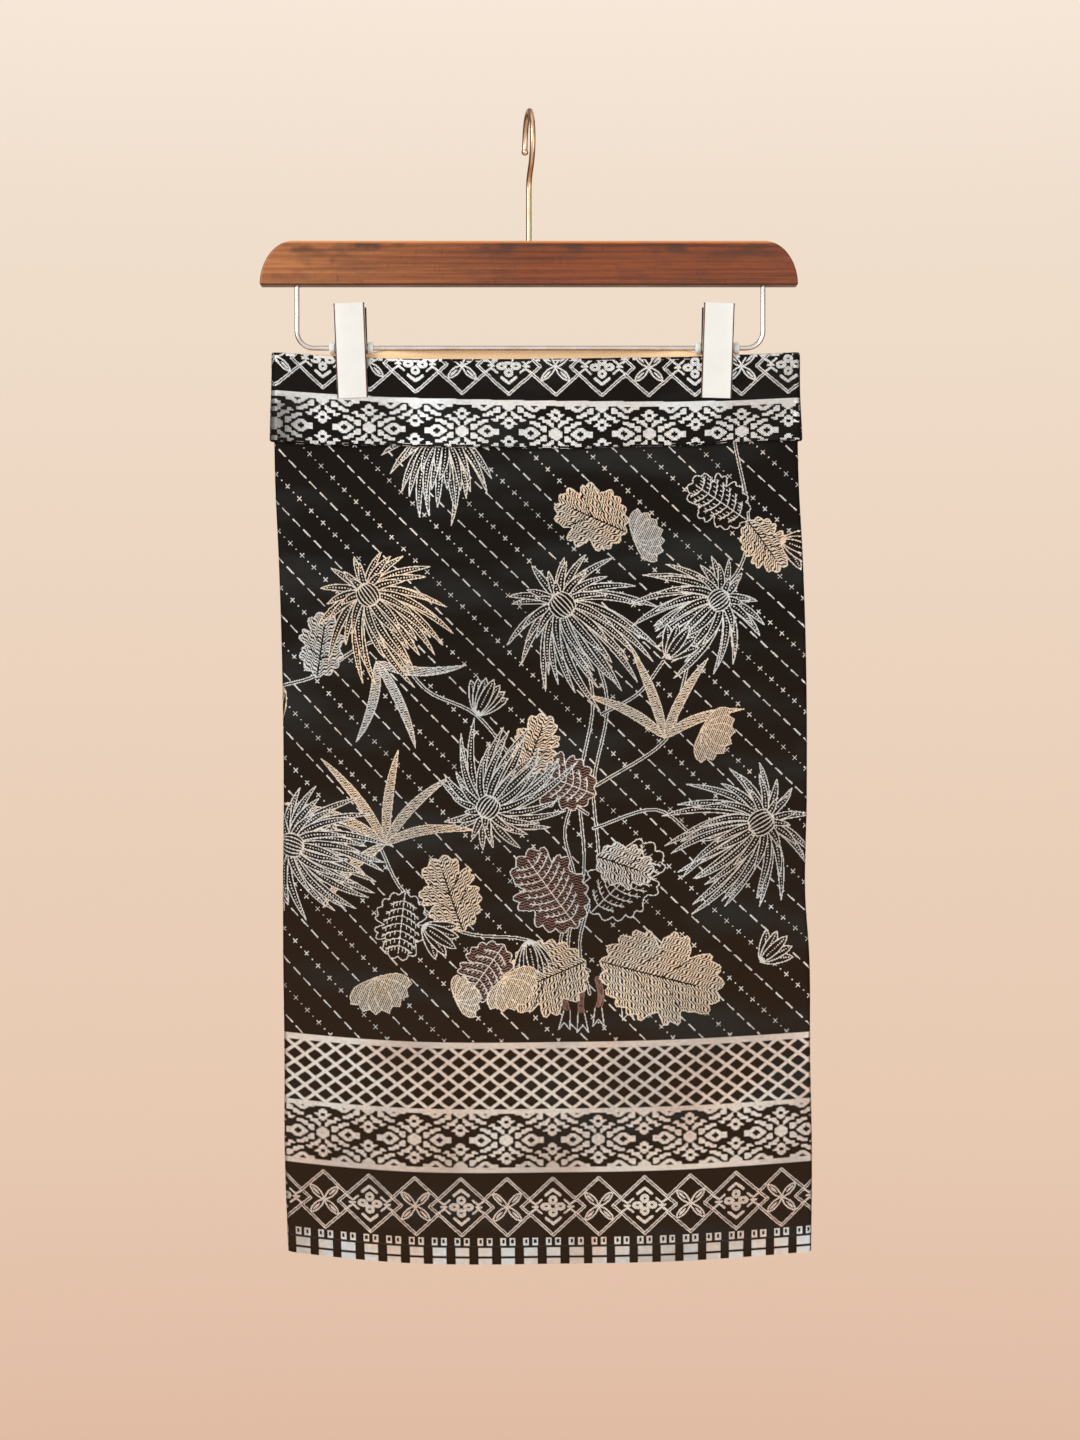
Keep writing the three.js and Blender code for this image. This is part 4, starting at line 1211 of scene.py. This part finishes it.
def bloom(middle, radius, lean, seed, dense=1.0, thread=SILVER):
    """A spider chrysanthemum: its eye lies towards `lean`, and its slender
    petals sweep away from there."""
    random = np.random.default_rng(seed)
    eye = np.asarray(middle) + 0.24 * radius * np.array([math.cos(lean), math.sin(lean)])
    for ring, (count, reach) in enumerate(BLOOM_RINGS):
        count = round(count * dense)
        for k in range(count):
            angle = 2 * math.pi * (k + 0.37 * ring) / count + random.uniform(-0.1, 0.1)
            length = radius * reach * (1.02 - 0.36 * math.cos(angle - lean))
            length *= random.uniform(0.84, 1.06)
            bend = 0.8 * math.sin(angle - lean) + random.uniform(-0.16, 0.16)
            width = random.uniform(4.3, 5.3)
            line, outline = petal(eye, angle, length, width, bend, 12, 0.7)
            shape(outline, 0.74, thread)
            stroke(line[2:-1], 0.9, thread, dash=(1.0, 2.1))
    ball = 0.19 * radius
    turn = np.linspace(0, 2 * math.pi, 20)[:-1]
    fill(np.stack([eye[0] + ball * np.cos(turn), eye[1] + ball * np.sin(turn)], 1), GROUND)
    for side in np.arange(-3, 4) / 3.2:
        sweep = [
            (ball * a, ball * side * math.sqrt(max(1 - a * a, 0)) ** 0.8)
            for a in np.linspace(-1, 1, 9)
        ]
        stroke(turned(sweep, lean, eye), 0.8, thread)


def lobed(stalk, angle, length, width, scallops):
    """Outline of a lobed leaf with scalloped edges that grows from its stalk."""
    theta = np.linspace(-math.pi, math.pi, 90, endpoint=False)
    reach = 1 / np.hypot(np.cos(theta) / (length / 2), np.sin(theta) / (width / 2))
    for turn in (0.9, 1.85):
        for place, depth in ((-turn, 0.34), (turn * 0.8, 0.34 * 0.8)):
            reach = reach * (1 - depth * np.exp(-(((theta - place) / 0.14) ** 2)))
    reach = reach + 0.035 * (length + width) * (np.abs(np.sin(theta * scallops / 2)) - 0.5)
    outline = np.stack([length / 2 + reach * np.cos(theta), reach * np.sin(theta)], 1)
    return turned(outline, angle, stalk)


def filled_leaf(stalk, angle, length, width, scallops=17, thread=CHAMPAGNE):
    """A lobed leaf filled with wavy rows that run out from its midrib."""
    cos, sin = math.cos(angle), math.sin(angle)

    def rows(u, down):
        along = (u - stalk[0]) * cos + (down - stalk[1]) * sin
        aside = -(u - stalk[0]) * sin + (down - stalk[1]) * cos
        off = np.abs(aside)
        wavy = along - 0.75 * off + 0.6 * np.sin(aside * 1.3) + 0.5 * np.sin(along * 0.6)
        ribs = (off < 0.5) & (along < length * 0.8)
        for share in (0.25, 0.5):
            ribs |= (np.abs(along - length * share - off) < 0.45) & (off < width * 0.3)
        return (wavy % 2.3 < 1.25) & ~ribs

    shape(lobed(stalk, angle, length, width, scallops), 0.9, thread, rows)


def rose_hatch(u, down):
    return (down + 0.7 * np.sin(u * 0.9)) % 1.9 < 0.64


def veined_leaf(stalk, angle, length, width, scallops=17, shaded=False):
    """An open lobed leaf: its outline, its midrib and feathery veins. A shaded
    one is hatched in rose between them."""
    outline = lobed(stalk, angle, length, width, scallops)
    shape(outline, 0.74, SILVER, rose_hatch if shaded else None, ROSE)
    stroke(turned([(0, 0), (length * 0.92, 0)], angle, stalk), 0.7, SILVER)
    veins = round(length / 6)
    for k in range(1, veins):
        foot = length * (k / veins) * 0.92
        reach = width / 2 * math.sqrt(max(1 - (2 * k / veins - 1) ** 2, 0)) * 0.72
        for side in (-1, 1):

            def on_vein(share):
                return foot + reach * (0.16 * share + 0.34 * share**2), side * reach * share

            vein = [on_vein(share) for share in (0, 0.25, 0.5, 0.75, 1)]
            stroke(turned(vein, angle, stalk), 0.62, SILVER)
            for share in (0.3, 0.55, 0.8):
                x, y = on_vein(share)
                for turn in (0.05, 1.35):
                    tip = (x + 2.6 * math.cos(turn), y + side * 2.6 * math.sin(turn))
                    stroke(turned([(x, y), tip], angle, stalk), 0.55, SILVER)


def slanted(u, down):
    return (u * 0.8 + down * 1.1 + np.sin(u * 1.9) * 0.5) % 1.9 < 1.1


def willow_leaves(stalk, width, leaves, thread=CHAMPAGNE):
    """Slim curved leaves filled with short slanting stitches, each given by
    its angle, length and bend."""
    for angle, length, bend in leaves:
        shape(petal(stalk, angle, length, width, bend, 12, 0.5)[1], 0.7, thread, slanted)


def stem(points, thread=SILVER, width=2.3):
    """A stem drawn as two lines, curved through its points."""
    points = np.asarray(points, float)
    span = np.linspace(0, len(points) - 1, 6 * (len(points) - 1) + 1)
    i = np.minimum(span.astype(int), len(points) - 2)
    slope = np.gradient(points, axis=0)
    curve = curved((span - i)[:, None], points[i], points[i + 1], slope[i], slope[i + 1])
    stroke(curve, width, thread)
    stroke(curve, width - 1.3, GROUND)


def bud(stalk, angle, size, petals=5, thread=SILVER):
    """A bud that has begun to open: pointed, striped petals on a small cup."""
    middle = (petals - 1) / 2
    for k in sorted(range(petals), key=lambda k: -abs(k - middle)):
        share = (k - middle) / middle
        lean, length = angle + share * 0.5, size * (1 - 0.12 * abs(share))
        line, outline = petal(stalk, lean, length, size * 0.27, 0.12 * share, blunt=0.7)
        shape(outline, 0.8, thread)
        stroke(line[2:-1], 0.85, thread, dash=(1.0, 1.8))
    fill(turned([(-0.8, 0), (1.5, -2.6), (4, 0), (1.5, 2.6)], angle, stalk), thread)


def striped(u, down):
    return (u * 1.2 - down * 0.5) % 1.7 < 0.95


def fan_flower(stalk, angle, size, thread=CHAMPAGNE):
    """A small open flower: a scalloped fan of striped petals."""
    for k in (0, 6, 1, 5, 2, 4, 3):
        outline = petal(stalk, angle + (k - 3) * 0.36, size, size * 0.42, 0, blunt=1.3)[1]
        shape(outline, 0.65, thread, striped)


def trunk(points, foot):
    """A broad hatched stem that ends in a split foot."""
    stem(points, ROSE, 4.6)
    for (u0, d0), (u1, d1) in zip(points[:-1], points[1:]):
        for share in np.arange(0, 1, 0.12):
            u, down = u0 + (u1 - u0) * share, d0 + (d1 - d0) * share
            for side in (-1, 1):
                stroke([(u, down), (u + 1.7 * side, down - 1.6)], 0.6, ROSE)
    u, down = points[-1]
    splay = [(-2.3, 0), (-4 + foot, 13), (foot, 8), (4 + foot, 13), (2.3, 0)]
    splay = [(u + across, down + drop) for across, drop in splay]
    fill(splay, GROUND)
    stroke(splay, 0.8, SILVER)


def spray(motif, *drawn):
    """Draw one motif at each of its places, one over the other."""
    for values in drawn:
        motif(*values)


# Sprays on the front, from the back of each spray to its front.
for points in (
    ((26, 186), (44, 240), (34, 300), (38, 360), (24, 410), (30, 446)),
    ((22, 190), (34, 240), (24, 300), (28, 360), (16, 410), (22, 446)),
    ((30, 290), (14, 330), (22, 370), (10, 412), (14, 446)),
    ((34, 330), (78, 318), (110, 340), (136, 332)),
    ((30, 430), (-12, 408), (-58, 402), (-98, 376), (-118, 340)),
    ((-118, 340), (-150, 330), (-172, 352), (-187, 352)),
    ((-110, 196), (-84, 232), (-48, 250), (-14, 290), (30, 320)),
    ((-187, 236), (-160, 226), (-132, 206), (-110, 196)),
    ((110, 180), (96, 236), (84, 270), (36, 300)),
    ((110, 180), (140, 150), (148, 112), (140, 60)),
    ((148, 120), (168, 132), (187, 128)),
    ((40, 250), (66, 236), (84, 214)),
):
    stem(points)
spray(
    trunk, (((16, 432), (12, 446), (14, 458)), -2), (((26, 436), (24, 448), (24, 460)), 1),
    (((36, 436), (38, 448), (36, 456)), 0), (((46, 430), (52, 444), (54, 452)), 3),
)
spray(
    veined_leaf, ((34, 306), -2.75, 52, 38, 17, True), ((34, 388), -0.75, 62, 46, 19),
    ((22, 398), -2.2, 62, 48, 19, True), ((146, 116), -2.5, 46, 34),
    ((-30, 412), 2.2, 44, 34, 17, True),
)
spray(
    filled_leaf, ((26, 424), 2.75, 58, 50, 19), ((40, 424), 0.28, 84, 62, 23),
    ((38, 350), 0.35, 40, 30, 15, SILVER), ((-58, 400), -1.9, 52, 40), ((-14, 290), -1.2, 42, 30),
    ((148, 118), 1.0, 40, 30), ((-160, 226), -1.4, 44, 30, 15, SILVER),
    ((-150, 330), 2.0, 44, 34, 15), ((60, 122), -2.7, 50, 44, 19),
)
veined_leaf((-98, 376), 1.7, 46, 36)
willow_leaves((-112, 342), 6.4, (
    (-2.5, 74, -0.35), (-2.05, 72, -0.2), (-1.6, 66, 0.16), (-1.15, 62, 0.34), (2.7, 60, -0.4),
    (-0.6, 58, 0.45),
))
willow_leaves((84, 268), 6.4, (
    (-2.3, 60, -0.34), (-1.75, 64, -0.16), (-1.25, 62, 0.2), (-0.7, 54, 0.4),
))
willow_leaves((-118, 214), 6.2, ((0.4, 58, -0.4), (0.95, 64, 0.2), (1.5, 56, 0.34)), SILVER)
spray(
    bloom, ((-116, 176), 45, -2.2, 3, 1.0, CHAMPAGNE), ((22, 182), 50, -2.3, 5, 1.1),
    ((116, 178), 42, -0.6, 7), ((-34, 306), 44, 2.2, 11, 1.05), ((142, 336), 50, -0.5, 13, 1.1),
    ((-168, 350), 46, -2.9, 19, 1.05), ((-66, 62), 40, -1.5, 17),
)
spray(
    bud, ((86, 212), -0.9, 27), ((-48, 250), -1.1, 28, 7), ((-86, 398), 0.6, 28),
    ((-12, 408), 1.4, 27, 7), ((-184, 236), 2.3, 27, 5, CHAMPAGNE),
    ((170, 132), 0.4, 28, 5, CHAMPAGNE), ((150, 428), -0.7, 26),
)
spray(
    fan_flower, ((-30, 434), 0.9, 24), ((-120, 436), 1.2, 26), ((-64, 450), -0.4, 18),
    ((110, 262), 0.5, 24), ((66, 128), -0.3, 22, SILVER),
)

# Sprays on the back.
for points in (
    ((250, 175), (272, 240), (262, 320), (276, 400), (270, 446)),
    ((270, 420), (310, 390), (350, 372), (392, 330), (425, 320)),
    ((270, 300), (238, 282), (214, 268), (196, 262)),
    ((350, 200), (330, 140), (346, 100), (338, 60)),
    ((510, 168), (480, 200), (470, 260), (486, 330), (478, 400)),
):
    stem(points)
spray(trunk, (((262, 436), (260, 448), (262, 458)), -2), (((274, 436), (276, 448), (274, 458)), 2))
spray(
    veined_leaf, ((262, 330), 0.4, 52, 38), ((478, 400), 2.4, 58, 44, 19),
    ((336, 110), -0.4, 46, 34),
)
spray(
    filled_leaf, ((272, 420), 2.8, 60, 48, 19), ((312, 390), 1.2, 54, 44, 19),
    ((400, 330), -1.3, 46, 36), ((478, 330), -0.1, 50, 40),
)
spray(
    bloom, ((250, 180), 50, 2.6, 23, 1.1), ((352, 205), 44, -0.4, 29), ((306, 306), 42, 0.9, 31),
    ((430, 318), 48, 3.0, 37, 1.1), ((470, 190), 46, 1.9, 41),
)
willow_leaves((396, 350), 6.0, ((1.2, 54, 0.2), (1.7, 58, -0.1), (0.6, 48, 0.25), (2.2, 50, -0.2)))
spray(bud, ((300, 120), -1.0, 26), ((500, 420), 0.8, 27), ((410, 130), 0.4, 25))
spray(fan_flower, ((350, 440), 1.3, 25), ((450, 440), 0.9, 22))

cloth_weave.shown[in_border] = hem_rows
cloth_weave.shown[down[:, 0] > HEM_MEDALLIONS + BORDER_BOTTOM] = GROUND


def on_shell(u, down, raised):
    return lifted(tube, u, down, raised)


field_silver = thread_finish("field_silver_thread", "e6e5e3", "eadccf", 0.2, 1.3, 40, 0.7)
field_champagne = thread_finish("champagne_thread", "f2e4d2", "ffe0c2", 0.2, 1.3, 40, 0.7)
field_rose = thread_finish("rose_thread", "946e64", "a2796b", 0.3, 1.3, 40, 0.7)
shell_threads = [
    thread_piece(name, cloth_weave, thread, on_shell, material, first, last)
    for name, thread, material, first, last in (
        ("field_silver_threads", SILVER, field_silver, 0, FIELD_END),
        ("field_champagne_threads", CHAMPAGNE, field_champagne, 0, FIELD_END),
        ("field_rose_threads", ROSE, field_rose, 0, FIELD_END),
        ("hem_border_threads", SILVER, rose_silver_thread, FIELD_END, CLOTH_LENGTH),
        ("hem_bar_threads", ROSE, bar_thread, FIELD_END, CLOTH_LENGTH),
    )
]

# --------------------------------------------------------------- stitching
# Black sewing thread: one row of lockstitch holds the turned hem, and another
# runs down beside the joint at the back.

STITCH_LENGTH, STITCH_PITCH, STITCH_WIDTH = 2.5, 3.3, 0.6
STITCH_ARCH = ((0, 0.05), (0.2, 0.3), (0.5, 0.38), (0.8, 0.3), (1, 0.05))  # share, height
STITCH_ROUND = ((-0.5, 0.18), (-0.2, 0), (0.2, 0), (0.5, 0.18))  # across, how far it sinks
cotton = Finish("black_cotton", Specular_IOR_Level=0.35)
ply = cotton.noise(cotton.add("UVMap", {"uv_map": "cloth"})["UV"], 1.0, 2.0, (2.2, 2.2, 1))
tone = cotton.blend(cotton.spread(ply, 0.3, 0.7), "1b1917", "3d3935")
black_cotton = cotton.show(tone, cotton.spread(ply, 0.3, 0.7, 0.5, 0.65))


def stitches(name, u, down, ahead):
    """A row of single stitches, each a small arched strip on the shell."""
    starts = np.stack(np.broadcast_arrays(u, down), 1)
    ahead = np.array(ahead, float) * STITCH_LENGTH
    aside = np.array([-ahead[1], ahead[0]]) / STITCH_LENGTH
    rings, lifts = [], []
    for share, height in STITCH_ARCH:
        for across, sink in STITCH_ROUND:
            rings.append(starts + share * ahead + across * STITCH_WIDTH * aside)
            lifts.append(max(height - sink, 0.03))
    places = np.stack(rings, axis=1)
    points = on_shell(places[..., 0], places[..., 1], np.array(lifts))
    wide = len(STITCH_ROUND)
    first = [wide * i + k for i in range(len(STITCH_ARCH) - 1) for k in range(wide - 1)]
    one = np.array(first)[:, None] + (0, 1, wide + 1, wide)
    faces = (np.arange(len(starts))[:, None, None] * len(rings) + one).reshape(-1, 4)
    corners = places.reshape(-1, 2)[faces] * (1, -1)
    return new_piece(name, points.reshape(-1, 3), faces, black_cotton, corners)


hem_u = np.arange(-HALF_ROUND, HALF_ROUND - STITCH_LENGTH, STITCH_PITCH)
hem_stitches = stitches("hem_stitches", hem_u, CLOTH_LENGTH - HEM_TURN + 1.4, (1, 0))
seam_down = np.arange(TUCK_DEPTH + 4, CLOTH_LENGTH - 4, STITCH_PITCH)
seam_stitches = stitches("back_seam_stitches", 3.2 - HALF_ROUND, seam_down, (0, 1))
